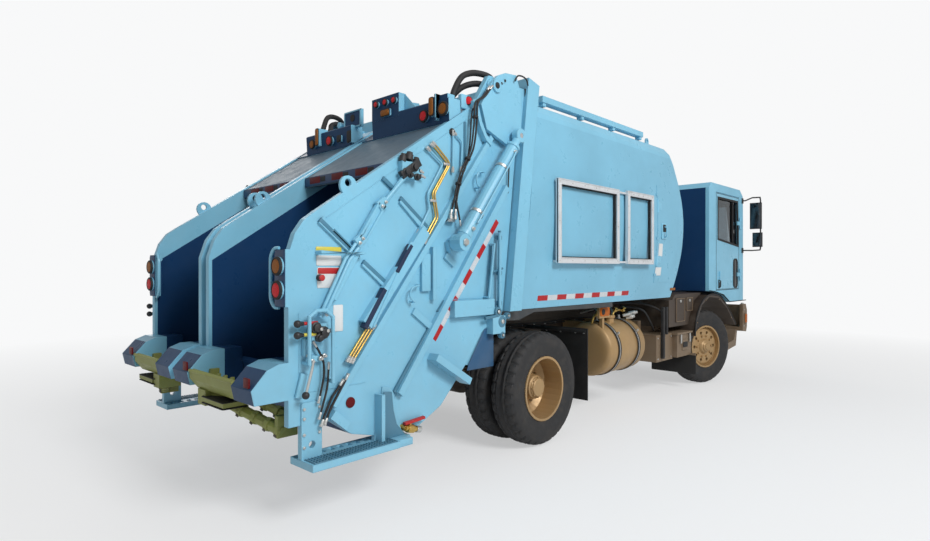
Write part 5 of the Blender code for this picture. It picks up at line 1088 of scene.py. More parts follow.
def tailgate_metal(name, sign):
    """Drain valve at the hopper's lowest point, bolts of the plates, and grating of the riding step."""
    out = sign * SHELL_HALF
    body = f"tailgate_{name}"
    brass, red, zinc = Form(), Form(), Form()
    place = np.array((-1.640, sign * 1.175, 0.475))
    turned(brass, [(-0.05, 0.022), (-0.03, 0.022), (-0.03, 0.030), (0.0, 0.032), (0.03, 0.030),
                   (0.03, 0.020), (0.06, 0.020)], place, (1, 0, -0.25), 18)
    turned(brass, [(0, 0.012), (0.046, 0.012)], place, (0, 0, 1), 10)
    tube(brass, [place + (-0.04, 0, 0.01), place + (-0.07, -sign * 0.06, 0.02)], 0.022, 14)
    piece(f"drain_valve_{name}", brass, body, BRASS)
    strap(red, place[[0, 2]] + (-0.060, 0.046), place[[0, 2]] + (0.135, 0.058), 0.020, sign * 1.160,
          sign * 1.195, 0.004)
    piece(f"drain_handle_{name}", red, body, PLASTIC_RED)
    turned(zinc, [(0.058, 0.025), (0.10, 0.025), (0.106, 0.018)], place, (1, 0, -0.25), 14)
    bolts(zinc, [(x, out + sign * 0.012 * (x < -2.3 or x < -1.8 and z < 0.8), z) for x, z in PLATE_BOLTS],
          (0, sign, 0), 0.011, 0.009)
    piece(f"plate_bolts_{name}", zinc, body, ZINC)
    teeth = Form()
    y0, y1 = SHELL_HALF + 0.025, SHELL_HALF + 0.135
    for y in np.linspace(y0, y1, 5):
        block(teeth, (-2.505, sign * y - 0.003, 0.4405), (-1.845, sign * y + 0.003, 0.4515), "z", 0.001,
              0.001)
    for x in np.linspace(-2.497, -1.853, 30):
        block(teeth, (x - 0.003, sign * (y0 - 0.004), 0.4405), (x + 0.003, sign * (y1 + 0.004), 0.4535),
              "z", 0.001, 0.001)
    # grating in the painted shade teal
    piece(f"step_grating_{name}", teeth, body, SHADED)


def round_lens(form, place, axis, radius, deep=0.014):
    """Domed lens standing on the place."""
    turned(form, [(-0.004, radius), (deep * 0.4, radius), (deep * 0.75, radius * 0.93),
                  (deep * 0.95, radius * 0.7), (deep, radius * 0.35), (deep, 0.0)], place, axis, 28)


def lamp_ring(form, place, axis, radius):
    """Rubber mounting ring round a lamp."""
    turned(form, [(-0.004, radius), (0.012, radius), (0.014, radius * 1.08), (0.008, radius * 1.26),
                  (-0.004, radius * 1.28)], place, axis, 32, ring=True)


BEAM_LENSES = {
    # side: (colour, y, z, radius) on the beams' rear faces
    "right": [("red", -0.864, 2.88, 0.040), ("amber", -1.09, 2.90, 0.045), ("red", -0.245, 3.092, 0.024),
              ("red", -0.369, 3.09, 0.024), ("red", -0.487, 3.087, 0.024)],
    "left": [("red", 0.486, 2.882, 0.040), ("amber", 0.787, 2.891, 0.038)],
}
BEAM_BARS = {
    # side: (colour, y from, y to, z from, z to, how far it stands back)
    "right": [("amber", -0.425, -0.315, 2.973, 3.023, 0.022),
              ("amber", -0.99, -0.945, 2.865, 3.005, 0.034)],
    "left": [("amber", 0.66, 0.705, 2.865, 3.025, 0.034), ("dark", 0.305, 0.360, 2.853, 2.907, 0.016),
             ("dark", 0.145, 0.195, 2.825, 2.925, 0.016)],
}


def rear_lamps(name, sign):
    """Amber over red lamp on a panel painted navy as shade, with its guard tube, and the sill boxes' square
    reflectors.
    """
    body = f"tailgate_{name}"
    y = sign * (SHELL_HALF - 0.063)
    panel, guard, rings, amber, red, dark_red = (Form() for _ in range(6))
    # navy plate over the lamp housing's rear face: painted shade
    block(panel, (-2.6245, sign * (SHELL_HALF - 0.123), 1.405),
          (-2.6195, sign * (SHELL_HALF - 0.003), 1.750), "x", 0.02, 0.002)
    for form, z in ((amber, 1.652), (red, 1.505)):
        round_lens(form, (-2.6440, y, z), (-1, 0, 0), 0.046, 0.010)
        lamp_ring(rings, (-2.6400, y, z), (-1, 0, 0), 0.046)
    loop = [(-2.600, SHELL_HALF - 0.110, 1.765), (-2.612, SHELL_HALF - 0.150, 1.765),
            (-2.612, SHELL_HALF - 0.192, 1.715), (-2.612, SHELL_HALF - 0.192, 1.445),
            (-2.612, SHELL_HALF - 0.150, 1.393), (-2.600, SHELL_HALF - 0.110, 1.393)]
    tube(guard, bent([(x, sign * y_out, z) for x, y_out, z in loop], 0.03), 0.012)
    for spot in ((-1.075, -0.174) if sign < 0 else (0.943,)):
        block(dark_red, (-2.826, spot - 0.034, 0.93), (-2.838, spot + 0.034, 0.99), "x", 0.006, 0.003)
    pieces(name, body, lamp_panel=(panel, NAVY_PAINTED_SHADE), lamp_guard=(guard, BLUE), lamp_rings=(rings, SEAL),
           amber_lamp=(amber, AMBER_LENS), red_lamp=(red, RED_LENS),
           rear_reflectors=(dark_red, DARK_RED_LENS))


def beam_lamps(name, sign):
    """Lamps on the beam, its gussets, and the red tape on the roof panel's lower flange."""
    body = f"tailgate_{name}"
    lenses = {"red": RED_LENS, "amber": AMBER_LENS, "dark": SEAL, "dark red": DARK_RED_LENS}
    forms = {colour: Form() for colour in lenses}
    for colour, y, z, radius in BEAM_LENSES[name]:
        round_lens(forms[colour], (-1.2200, y, z), (-1, 0, 0), radius)
        lamp_ring(forms["dark"], (-1.2190, y, z), (-1, 0, 0), radius)
    for colour, y0, y1, z0, z1, back in BEAM_BARS[name]:
        face = -1.1997 - back + 0.004
        block(forms["dark"], (face, y0 - 0.008, z0 - 0.008), (face - 0.006, y1 + 0.008, z1 + 0.008), "x",
              0.018, 0.002)
        block(forms[colour], (face, y0, z0), (face - 0.014, y1, z1), "x", 0.016, 0.006)
    y0, y1 = (-1.085, -0.015) if sign < 0 else (0.175, 1.085)
    flange = Form()
    low = np.array((-1.7935, 2.395))
    block(flange, (low[0], y0, 2.325), (low[0] + 0.006, y1, 2.400), "x", 0.003, 0.002)
    for k in range(3):
        y = -0.168 - 0.315 * k if sign < 0 else 0.32 + 0.27 * k
        block(forms["dark red"], (low[0] + 0.001, y - 0.075, 2.340), (low[0] - 0.0025, y + 0.075, 2.392),
              "x", 0.003, 0.001)
        block(forms["dark"], (low[0] + 0.001, y - 0.150, 2.345), (low[0] - 0.0005, y - 0.080, 2.387), "x",
              0.003, 0.0004)
    # the roof panel's lower flange is painted navy as shade
    piece(f"roof_flange_{name}", flange, body, NAVY_PAINTED_SHADE)
    gusset = Form()
    if sign < 0:
        plate(gusset, [(-0.535, 3.145), (-0.535, 2.965), (-0.720, 2.965)], -1.135, -1.128, "x", 0.002)
        plate(gusset, [(-1.010, 3.03), (-1.010, 2.84), (-1.020, 2.84), (-1.020, 3.03)], -1.235, -1.16, "x",
              0.002)
        place, aim = (-0.985, -1.142, 3.000), (-0.8, -0.6, 0)
        turned(forms["red"], [(0, 0.030), (0.010, 0.030), (0.014, 0.022), (0.014, 0.0)], place, aim, 20)
        turned(forms["dark"], [(-0.03, 0.036), (0.004, 0.036), (0.006, 0.030)], place, aim, 20)
        block(gusset, (-1.06, -1.138, 2.93), (-0.955, -1.100, 3.045))
    else:
        ring_plate(gusset, rounded(0.072, 0.333, 2.972, 3.133, 0.02), 0.012, -1.156, -1.148, "x")
        turned(gusset, [(-0.01, 0.030), (0.03, 0.030), (0.034, 0.024), (0.034, 0.0)], (-1.13, 0.41, 3.03),
               (-1, 0, 0), 18)
        turned(forms["dark"], [(0, 0.034), (0.003, 0.034), (0.003, 0.0)], (-1.151, 0.201, 3.065),
               (-1, 0, 0), 20)
    piece(f"beam_gussets_{name}", gusset, body, BLUE)
    for colour, form in forms.items():
        if form.points:
            piece(f"{colour.replace(' ', '_')}_beam_lamps_{name}", form, body, lenses[colour])


def lifters(name, sign):
    """Rubber mat and toothed rim of the cart lifter's trough, its black catch plate, and the links' bolts."""
    body = f"cart_lifter_{name}"
    y0, y1 = (-0.872, -0.235) if sign < 0 else (0.395, 0.872)
    mat, rim, pins = Form(), Form(), Form()
    plate(mat, [(-2.745, 0.895), (-2.655, 0.838), (-2.640, 0.838), (-2.640, 0.852), (-2.735, 0.908)], y0,
          y1, "y", 0.002)
    for y in np.arange(y0 + 0.04, y1 - 0.03, 0.105):
        plate(rim, [(-2.700, 0.852), (-2.640, 0.822), (-2.640, 0.900), (-2.662, 0.900)], y, y + 0.022, "y",
              0.003)
    tube(rim, [(-2.8245, y0 - 0.008, 0.9345), (-2.8245, y1 + 0.008, 0.9345)], 0.0115)
    start = -0.36 if sign < 0 else 0.52
    black = Form()
    block(black, (-2.806, start, 0.7285), (-2.632, start + sign * 0.335, 0.7345), "z", 0.02, 0.002)
    block(black, (-2.806, start, 0.770), (-2.700, start + sign * 0.335, 0.776), "z", 0.02, 0.002)
    piece(f"lifter_catch_{name}", black, body, FLAP)
    lower = [np.array((-2.72, start - sign * -0.02, 0.77)), np.array((-2.55, sign * 1.0, 0.60))]
    upper = [lower[0] + (0.07, 0, 0.07), lower[1] + (0.07, 0, 0.07)]
    aim = unit(lower[1] - lower[0])
    for pair, wide in ((lower, 0.046), (upper, 0.040)):
        for share in (0.42, 0.62, 0.80, 0.95):
            spot = pair[0] * (1 - share) + pair[1] * share
            turned(rim, [(-0.018, wide - 0.004), (-0.015, wide), (0.015, wide), (0.018, wide - 0.004)],
                   spot, aim, 8)
            turned(pins, [(wide - 0.006, 0.013), (wide + 0.006, 0.013), (wide + 0.008, 0.0)], spot,
                   (-0.75, 0, -0.66), 6)
    pieces(name, body, lifter_mat=(mat, FLAP), lifter_rim=(rim, OLIVE), lifter_pins=(pins, CAST))


def lift_cylinders(name, sign):
    """Gland and ports of the lift cylinder's barrel, its foot's pin, and the painted eye of the rod."""
    y = sign * 1.26
    low, top = np.array((-1.20, y, 1.84)), np.array((-0.47, y, 2.78))
    aim = unit(top - low)
    barrel, ports, eye = Form(), Form(), Form()
    turned(barrel, [(1.035, 0.0555), (1.035, 0.061), (1.062, 0.061), (1.066, 0.056), (1.066, 0.034),
                    (1.035, 0.034)], low, aim, 32, ring=True)
    turned(barrel, [(0.060, 0.0555), (0.064, 0.0595), (0.100, 0.0595), (0.104, 0.0555)], low, aim, 32)
    for along in (0.135, 0.985):
        spot = low + aim * along + (0, sign * 0.040, 0)
        turned(ports, [(0, 0.017), (0.026, 0.017), (0.028, 0.013), (0.034, 0.013)], spot, (0, sign, 0), 6)
    path = bent([low + aim * 0.985 + (0, sign * 0.070, 0), low + aim * 0.930 + (0, sign * 0.074, 0),
                 low + aim * 0.190 + (0, sign * 0.074, 0)], 0.02)
    tube(barrel, path, 0.008)
    for along in (0.30, 0.80):
        spot = low + aim * along
        turned(ports, [(-0.012, 0.0565), (-0.012, 0.0595), (0.012, 0.0595), (0.012, 0.0565)], spot, aim, 32,
               ring=True)
    turned(ports, [(0, 0.030), (0.012, 0.030), (0.014, 0.024), (0.020, 0.024), (0.020, 0.0)],
           low + (0, sign * 0.055, 0), (0, sign, 0), 6)
    pieces(name, f"lift_barrel_{name}", barrel_fittings=(barrel, BLUE), barrel_ports=(ports, ZINC))
    turned(eye, [(-0.0315, 0.022), (-0.0315, 0.0580), (-0.0260, 0.0625), (0.0260, 0.0625), (0.0315, 0.0580),
                 (0.0315, 0.022)], top, (0, 1, 0), 32, ring=True)
    turned(eye, [(-0.125, 0.029), (-0.120, 0.034), (-0.062, 0.036), (-0.045, 0.030)], top, aim)
    piece(f"rod_eye_{name}", eye, f"lift_rod_{name}", BLUE)


def hinge_hoses():
    """Thick hoses that arch from behind the lamp beam over to the frame at the hinge, one set a side."""
    for name, sign in SIDES:
        body = f"tailgate_{name}"
        inward = 0.0 if sign < 0 else 0.09     # the left beam ends nearer the middle
        outer = [(-1.045, 1.00 - inward, 2.990), (-0.995, 1.00 - inward * 0.8, 3.120),
                 (-0.925, 1.01 - inward * 0.4, 3.235), (-0.835, 1.03, 3.285), (-0.745, 1.06, 3.295),
                 (-0.665, 1.09, 3.280), (-0.625, 1.11, 3.230)]
        inner = [(-1.045, 0.92 - inward, 2.985), (-0.960, 0.93 - inward * 0.8, 3.080),
                 (-0.880, 0.96, 3.165), (-0.805, 1.00, 3.205), (-0.735, 1.04, 3.215),
                 (-0.670, 1.075, 3.195), (-0.645, 1.095, 3.150)]
        for k, points in enumerate((outer, inner)):
            hose(f"hinge_hose_{name}_{k}", [(x, sign * y, z) for x, y, z in points], 0.052, body)
        clamp = Form()
        block(clamp, (-1.085, sign * (0.875 - inward), 2.960), (-1.005, sign * (1.045 - inward), 2.990),
              "z", 0.012)
        piece(f"hinge_hose_clamps_{name}", clamp, body, BLACK_PAINT)


# Poster frames on the body's sides, as (x from, x to, z from, z to)
POSTER_FRAMES = [(0.12, 1.28, 1.69, 2.49), (1.465, 2.10, 1.69, 2.50)]


def loop_outline(x0, x1, z0, z1, radius):
    """Rounded rectangle in the side view."""
    return rounded(x0, x1, z0, z1, radius, 4)


def body_fittings(name, sign):
    """Tape, poster frames' lips and screws, latch, bare plates, marker lamps and the rear post's hoses."""
    body = "chassis"
    red, silver = tape_strip(sign)
    pieces(name, body, body_tape_red=(red, RED_TAPE), body_tape_silver=(silver, SILVER_TAPE))
    lips, screws, black, white, blue, lamp = (Form() for _ in range(6))
    for x0, x1, z0, z1 in POSTER_FRAMES:
        for inset in (0.0, 0.047):
            outline = loop_outline(x0 + inset, x1 - inset, z0 + inset, z1 - inset, 0.006)
            ring_plate(lips, outline, 0.008, sign * 1.250, sign * 1.268)
        ring_plate(black, loop_outline(x0 + 0.055, x1 - 0.055, z0 + 0.055, z1 - 0.055, 0.004), 0.010,
                   sign * 1.225, sign * 1.252)
        places = [(x, z) for z in (z0 + 0.0275, z1 - 0.0275) for x in np.linspace(x0 + 0.03, x1 - 0.03, 6)]
        places += [(x, z) for x in (x0 + 0.0275, x1 - 0.0275) for z in np.linspace(z0 + 0.17, z1 - 0.17, 3)]
        for x, z in places:
            turned(screws, [(0, 0.007), (0.002, 0.007), (0.004, 0.004), (0.004, 0.0)], (x, sign * 1.262, z),
                   (0, sign, 0), 10)
    pieces(name, body, poster_lips=(lips, ALUMINIUM), poster_screws=(screws, ZINC))
    # paddle latch, and plates without text
    y = sign * (crown(2.1) + 0.006)
    plate(blue, rounded(2.40, 2.53, 2.00, 2.20, 0.02), y, y + sign * 0.010)
    plate(black, rounded(2.425, 2.505, 2.09, 2.18, 0.015), y + sign * 0.009, y + sign * 0.014, "y", 0.002)
    tube(blue, bent([(2.465, y + sign * 0.010, 2.155), (2.465, y + sign * 0.040, 2.140),
                     (2.465, y + sign * 0.040, 2.035), (2.465, y + sign * 0.012, 2.020)], 0.012), 0.008)
    for x0, x1, z0, z1 in ((2.345, 2.450, 1.790, 1.945), (2.30, 2.455, 1.555, 1.655)):
        skin(white, sign, z0, z1, x0, x1, 0.010, 0.003, 4)
    skin(white, sign, 1.335, 1.530, -0.42, -0.335, 0.004, 0.002, 4)
    block(lamp, (2.80, sign * (crown(1.38) - 0.01), 1.360), (2.94, sign * (crown(1.38) + 0.012), 1.392))
    # hinges of the access door
    for z in (1.75, 2.40):
        turned(blue, [(-0.085, 0.014), (-0.082, 0.017), (0.082, 0.017), (0.085, 0.014)],
               (2.315, sign * crown(z), z), (0, 0, 1), 14)
        skin(blue, sign, z - 0.045, z + 0.045, 2.318, 2.41, 0.011, 0.006, 3)
    for z in np.arange(1.56, 2.60, 0.13):
        turned(screws, [(0, 0.008), (0.003, 0.008), (0.006, 0.004), (0.006, 0.0)],
               (2.815, sign * (crown(z) + 0.006), z), (0, sign, 0), 10)
    # hoses along the channel between the hinge ear and the rear post
    cover, lines = Form(), Form()
    for x in (-0.305, -0.285, -0.262):
        tube(lines, bent(at_side(sign, [(x + 0.022, 3.240), (x + 0.012, 3.060), (x - 0.012, 2.800),
                                        (x - 0.058, 2.480), (x - 0.085, 2.290)], 0.046), 0.05), 0.011)
    # recess cover painted teal as shade
    strap(cover, (-0.245, 3.245), (-0.330, 2.600), 0.075, sign * (SHELL_HALF + 0.018),
          sign * (SHELL_HALF + 0.0365))
    pieces(name, body, post_lines=(lines, HOSE), post_recess=(cover, SHADED))
    pin = (-0.706, sign * EAR_OUT, 3.172)
    turned(blue, [(0, 0.040), (0.010, 0.040), (0.014, 0.034), (0.014, 0.0)], pin, (0, sign, 0))
    turned(black, [(0.012, 0.026), (0.022, 0.026), (0.026, 0.018), (0.026, 0.0)], pin, (0, sign, 0), 20)
    for x, z in ((-0.593, 3.239), (-0.640, 3.205)):
        turned(black, [(0, 0.013), (0.010, 0.013), (0.010, 0.0)], (x, sign * EAR_OUT, z), (0, sign, 0), 6)
    strap(blue, (-0.700, 3.172), (-0.600, 3.235), 0.030, sign * 1.198, sign * 1.206)
    pieces(name, body, body_latch=(blue, BLUE), body_black=(black, SEAL), body_plates=(white, PLATE_WHITE),
           body_marker=(lamp, AMBER_LENS))
    loop = [(-0.474, 3.262), (-0.440, 3.312), (-0.376, 3.325), (-0.315, 3.310), (-0.290, 3.262)]
    hose(f"post_loop_{name}", [(x, sign * 1.222, z) for x, z in loop], 0.014, body, ends=False)


# Lower edge of the cab over the wheel arch, out and back, as (x, z)
CAB_OUT = [(3.990, 1.320), (4.200, 1.300), (4.550, 1.240), (4.800, 1.130), (5.540, 1.130), (5.540, 1.142),
           (4.806, 1.142), (4.556, 1.254), (4.206, 1.314), (3.990, 1.334)]


def cab_side(name, sign):
    """Door's window seal, vent bar, handle and low window, mirror glass, wheel-arch lip and bumper marker."""
    out = sign * CAB_HALF
    door = f"cab_door_{name}"
    seal, glass, blue, zinc = Form(), Form(), Form(), Form()
    grown = [(4.302, 2.062), (5.200, 1.978), (5.156, 2.698), (4.302, 2.698)]
    ring_plate(seal, grown, 0.030, out - sign * 0.012, out + sign * 0.005)
    block(seal, (4.935, out - sign * 0.020, 2.035), (4.957, out + sign * 0.003, 2.675), "y", 0.004)
    ring_plate(seal, rounded(4.948, 5.152, 1.342, 1.798, 0.072, 4), 0.020, out - sign * 0.004,
               out + sign * 0.006)
    plate(glass, rounded(4.956, 5.144, 1.350, 1.790, 0.066, 4), out + sign * 0.0005, out + sign * 0.003,
          "y", 0.001)
    plate(seal, rounded(4.335, 4.395, 1.350, 1.480, 0.016), out + sign * 0.0005, out + sign * 0.004, "y",
          0.001)
    tube(seal, bent([(4.365, out, 1.470), (4.365, out + sign * 0.024, 1.462),
                     (4.365, out + sign * 0.024, 1.372), (4.365, out, 1.364)], 0.010), 0.008)
    turned(zinc, [(0, 0.010), (0.005, 0.010), (0.006, 0.0)], (4.365, out, 1.515), (0, sign, 0), 14)
    ring_plate(seal, [(4.255, 1.334), (5.205, 1.334), (5.205, 2.746), (4.255, 2.746)], 0.006,
               out - sign * 0.01, out + sign * 0.0015)
    tube(blue, bent([(4.60, out - sign * 0.045, 1.90), (4.60, out - sign * 0.085, 1.90),
                     (4.95, out - sign * 0.085, 1.90), (4.95, out - sign * 0.045, 1.90)], 0.02), 0.010)
    pieces(name, door, door_seals=(seal, SEAL), low_window=(glass, BLACK_GLASS), door_metal=(zinc, ZINC),
           door_pull=(blue, TRIM))
    # on the cab itself
    mirrors, lip, marker = Form(), Form(), Form()
    ring_plate(lip, CAB_OUT, 0.012, out - sign * 0.002, out + sign * 0.004)
    y0, y1 = sign * (CAB_HALF + 0.052), sign * (CAB_HALF + 0.208)
    block(mirrors, (MIRROR_X + 0.002, y0, 2.292), (MIRROR_X - 0.001, y1, 2.690), "x", 0.015, 0.0004)
    block(mirrors, (MIRROR_X + 0.002, sign * (CAB_HALF + 0.093), 2.002),
          (MIRROR_X - 0.001, sign * (CAB_HALF + 0.217), 2.208), "x", 0.02, 0.0004)
    pieces(name, "chassis", mirror_glass=(mirrors, MIRROR), cab_lip=(lip, SEAL))
    block(marker, (5.515, sign * 1.195, 0.770), (5.605, sign * 1.204, 0.910), "y", 0.015)
    piece(f"bumper_marker_{name}", marker, "chassis", ORANGE_LENS)
    cap = Form()
    turned(cap, [(0, 0.022), (0.014, 0.022), (0.018, 0.014), (0.018, 0.0)], (5.56, sign * 1.14, 1.069),
           (0, 0, 1), 16)
    bolts(cap, [(5.50, sign * 1.181, z) for z in (0.72, 0.98)], (0, sign, 0), 0.012, 0.009)
    piece(f"bumper_bolts_{name}", cap, "chassis", ZINC)


def screen_x(z):
    """Front face of the raked screen at height z."""
    return 5.55 - 0.15 * (z - 1.80) / 0.98


def cab_front():
    """Grille bars, headlamps, wipers, roof markers, bare number plate and screen seal."""
    black, chrome, clear, amber, white = (Form() for _ in range(5))
    block(black, (5.549, -0.68, 1.30), (5.556, 0.68, 1.70), "x", 0.03, 0.003)
    for k in range(6):
        z = 1.330 + 0.062 * k
        block(chrome, (5.553, -0.650, z), (5.574, 0.650, z + 0.026), "x", 0.010, 0.006)
    for sign in (-1, 1):
        for y in (0.74, 0.95):
            place = (5.640, sign * y, 0.83)
            turned(chrome, [(0, 0.084), (0.016, 0.084), (0.019, 0.080), (0.014, 0.074), (0, 0.074)], place,
                   (1, 0, 0), 32, ring=True)
            round_lens(clear, (5.641, sign * y, 0.83), (1, 0, 0), 0.073)
        block(amber, (5.650, sign * 1.06, 0.79), (5.658, sign * 1.15, 0.87), "x", 0.015, 0.003)
        arm = bent([(screen_x(1.90) + 0.02, sign * 0.15, 1.905), (screen_x(1.93) + 0.03, sign * 0.17, 1.93),
                    (screen_x(2.30) + 0.022, sign * 0.52, 2.30)], 0.02)
        tube(black, arm, 0.007)
        blade = [(screen_x(z) + 0.012, sign * y, z) for y, z in ((0.30, 2.06), (0.74, 2.50))]
        tube(black, blade, 0.006)
        turned(black, [(-0.02, 0.020), (0.02, 0.020), (0.024, 0.014), (0.024, 0.0)],
               (screen_x(1.90) + 0.005, sign * 0.15, 1.90), (1, 0, 0.15), 14)
    screen = [(-0.995, 1.935), (0.995, 1.935), (0.955, 2.675), (-0.955, 2.675)]
    frame_form = Form()
    ring_plate(frame_form, screen, 0.030, 0.0, 0.010, "x")
    points = frame_form.points[-1]
    points[:, 0] += 5.552 - 0.153 * (points[:, 2] - 1.80)
    piece("screen_seal", frame_form, "chassis", SEAL)
    for k in (-2, -1, 0, 1, 2):
        block(amber, (5.08, 0.42 * k - 0.045, 2.876), (5.16, 0.42 * k + 0.045, 2.906), "z", 0.02, 0.012)
    block(white, (5.550, -0.26, 1.14), (5.555, 0.26, 1.25), "x", 0.010, 0.001)
    piece("grille_black", black, "chassis", SEAL)
    piece("grille_bars", chrome, "chassis", ZINC)
    piece("headlamp_glass", clear, "chassis", CLEAR_LENS)
    piece("front_amber", amber, "chassis", ORANGE_LENS)
    piece("number_plate", white, "chassis", PLATE_WHITE)


def right_rail(black, zinc, bronze, gold, lamp, flap):
    """Fuel tank's smooth skin, straps, pipes, valves and cap, the lamp over it, hangers and box latches."""
    half = [(1.262, 0.0), (1.266, 0.120), (1.272, 0.200), (1.278, 0.247), (1.288, 0.274), (1.300, 0.294),
            (1.312, 0.3015)]
    tank = turned(Form(), half + [(3.40 - x, r) for x, r in half[::-1]], TANK_AXIS, (1, 0, 0), 64)
    piece("tank_skin_right", tank, "chassis", GOLD)
    brass = Form()
    tube(brass, bent([(1.31, -0.90, 1.00), (1.31, -0.93, 1.105), (1.42, -0.93, 1.125), (1.62, -0.93, 1.12)],
                     0.03), 0.012)
    tube(brass, bent([(1.74, -0.93, 1.02), (1.74, -0.93, 1.125), (1.86, -0.93, 1.15), (2.02, -0.90, 1.13)],
                     0.03), 0.012)
    for x, z in ((1.36, 1.115), (1.78, 1.14), (1.98, 1.135)):
        turned(brass, [(-0.020, 0.018), (0.020, 0.018)], (x, -0.93, z), (1, 0, 0), 6)
        turned(brass, [(0, 0.008), (0.035, 0.008), (0.036, 0.022), (0.044, 0.022)], (x, -0.93, z),
               (0, -0.5, 1), 10)
    piece("tank_brass", brass, "chassis", BRASS)
    for x, z, radius in ((2.07, 1.055, 0.030), (2.14, 1.10, 0.026), (2.00, 1.085, 0.022)):
        turned(zinc, [(-0.05, radius * 0.6), (-0.045, radius), (0.03, radius), (0.036, radius * 0.7),
                      (0.06, radius * 0.7)], (x, -0.97, z), (0.6, -1, 0.3), 10)
    for x, low_z in ((2.655, 0.50), (2.745, 0.80)):
        block(black, (x - 0.022, -1.145, low_z), (x + 0.022, -1.105, 1.15), "z", 0.006)
    for points in ([(2.34, -0.70, 1.16), (2.48, -0.92, 1.12), (2.60, -0.98, 0.96), (2.74, -0.96, 0.84)],
                   [(2.30, -0.60, 1.20), (2.55, -0.90, 1.19), (2.78, -1.02, 1.10), (2.86, -1.04, 0.98)]):
        tube(black, smooth_path(points, 8), 0.013)
    for x in (1.475, 1.925):
        turned(black, [(-0.032, 0.309), (-0.032, 0.3125), (0.032, 0.3125), (0.032, 0.309)],
               (x, *TANK_AXIS[1:]), (1, 0, 0), 48, ring=True)
        turned(zinc, [(-0.006, 0.3125), (-0.006, 0.3150), (0.006, 0.3150), (0.006, 0.3125)],
               (x, *TANK_AXIS[1:]), (1, 0, 0), 48, ring=True)
        bolts(zinc, [(x, -1.13, 0.91)], (0, -1, 0.6), 0.014, 0.03)
    turned(gold, [(0.0, 0.058), (0.006, 0.062), (0.030, 0.062), (0.036, 0.055), (0.036, 0.0)],
           (1.68, -0.92, 1.062), (0, 0, 1))
    for x, radius in ((1.60, 0.011), (1.78, 0.014), (1.95, 0.011)):
        path = bent([(x, -0.80, 1.02), (x, -0.80, 1.12), (x + 0.10, -0.72, 1.16), (x + 0.12, -0.50, 1.10)],
                    0.04)
        tube(zinc if radius < 0.012 else black, path, radius)
    turned(zinc, [(0, 0.024), (0.03, 0.024), (0.034, 0.018), (0.06, 0.018)], (2.00, -0.86, 1.02), (0, 0, 1),
           6)
    block(lamp, (1.235, -1.0495, 1.11), (1.445, -1.057, 1.21), "y", 0.03)
    block(flap, (3.396, -1.244, 0.216), (3.416, -0.616, 0.470), "x", 0.01, 0.003)
    turned(black, [(0, 0.034), (0.004, 0.034), (0.004, 0.0)], (1.30, -1.058, 1.16), (0, -1, 0), 20)
    for x in (3.06, 3.34):
        block(zinc, (x - 0.018, -1.186, 0.660), (x + 0.018, -1.196, 0.775), "y", 0.006, 0.002)
    block(black, (3.130, -1.183, 0.600), (3.270, -1.190, 0.670), "y", 0.010, 0.003)
    for x0, x1, z0 in ((3.04, 3.32, 0.93), (3.37, 3.58, 1.06)):
        ring_plate(bronze, rounded(x0 + 0.004, x1 - 0.004, z0 + 0.004, 1.246, 0.015), 0.010, -1.127, -1.133)
        block(zinc, ((x0 + x1) / 2 - 0.02, -1.127, 1.19), ((x0 + x1) / 2 + 0.02, -1.137, 1.225), "y", 0.006,
              0.002)
    bolts(zinc, [(x, -1.1005, z) for x in (2.56, 2.75, 2.94) for z in (0.50, 0.76)], (0, -1, 0), 0.010,
          0.008)


def left_rail(black, gold, lamp):
    """Oil tank's cap, lamp and straps, and the air tank's straps."""
    turned(gold, [(0.0, 0.050), (0.03, 0.050), (0.036, 0.042), (0.036, 0.0)], (1.45, 0.90, 1.079),
           (0, 0, 1))
    block(lamp, (1.55, 1.1195, 0.80), (1.62, 1.126, 0.95), "y", 0.01, 0.002)
    for x in (1.36, 2.14):
        block(black, (x - 0.02, 0.63, 0.516), (x + 0.02, 1.124, 1.084), "x", 0.01, 0.003)
    for x in (2.50, 3.05):
        turned(black, [(-0.02, 0.139), (-0.02, 0.143), (0.02, 0.143), (0.02, 0.139)], (x, 0.80, 0.72),
               (1, 0, 0), 32, ring=True)


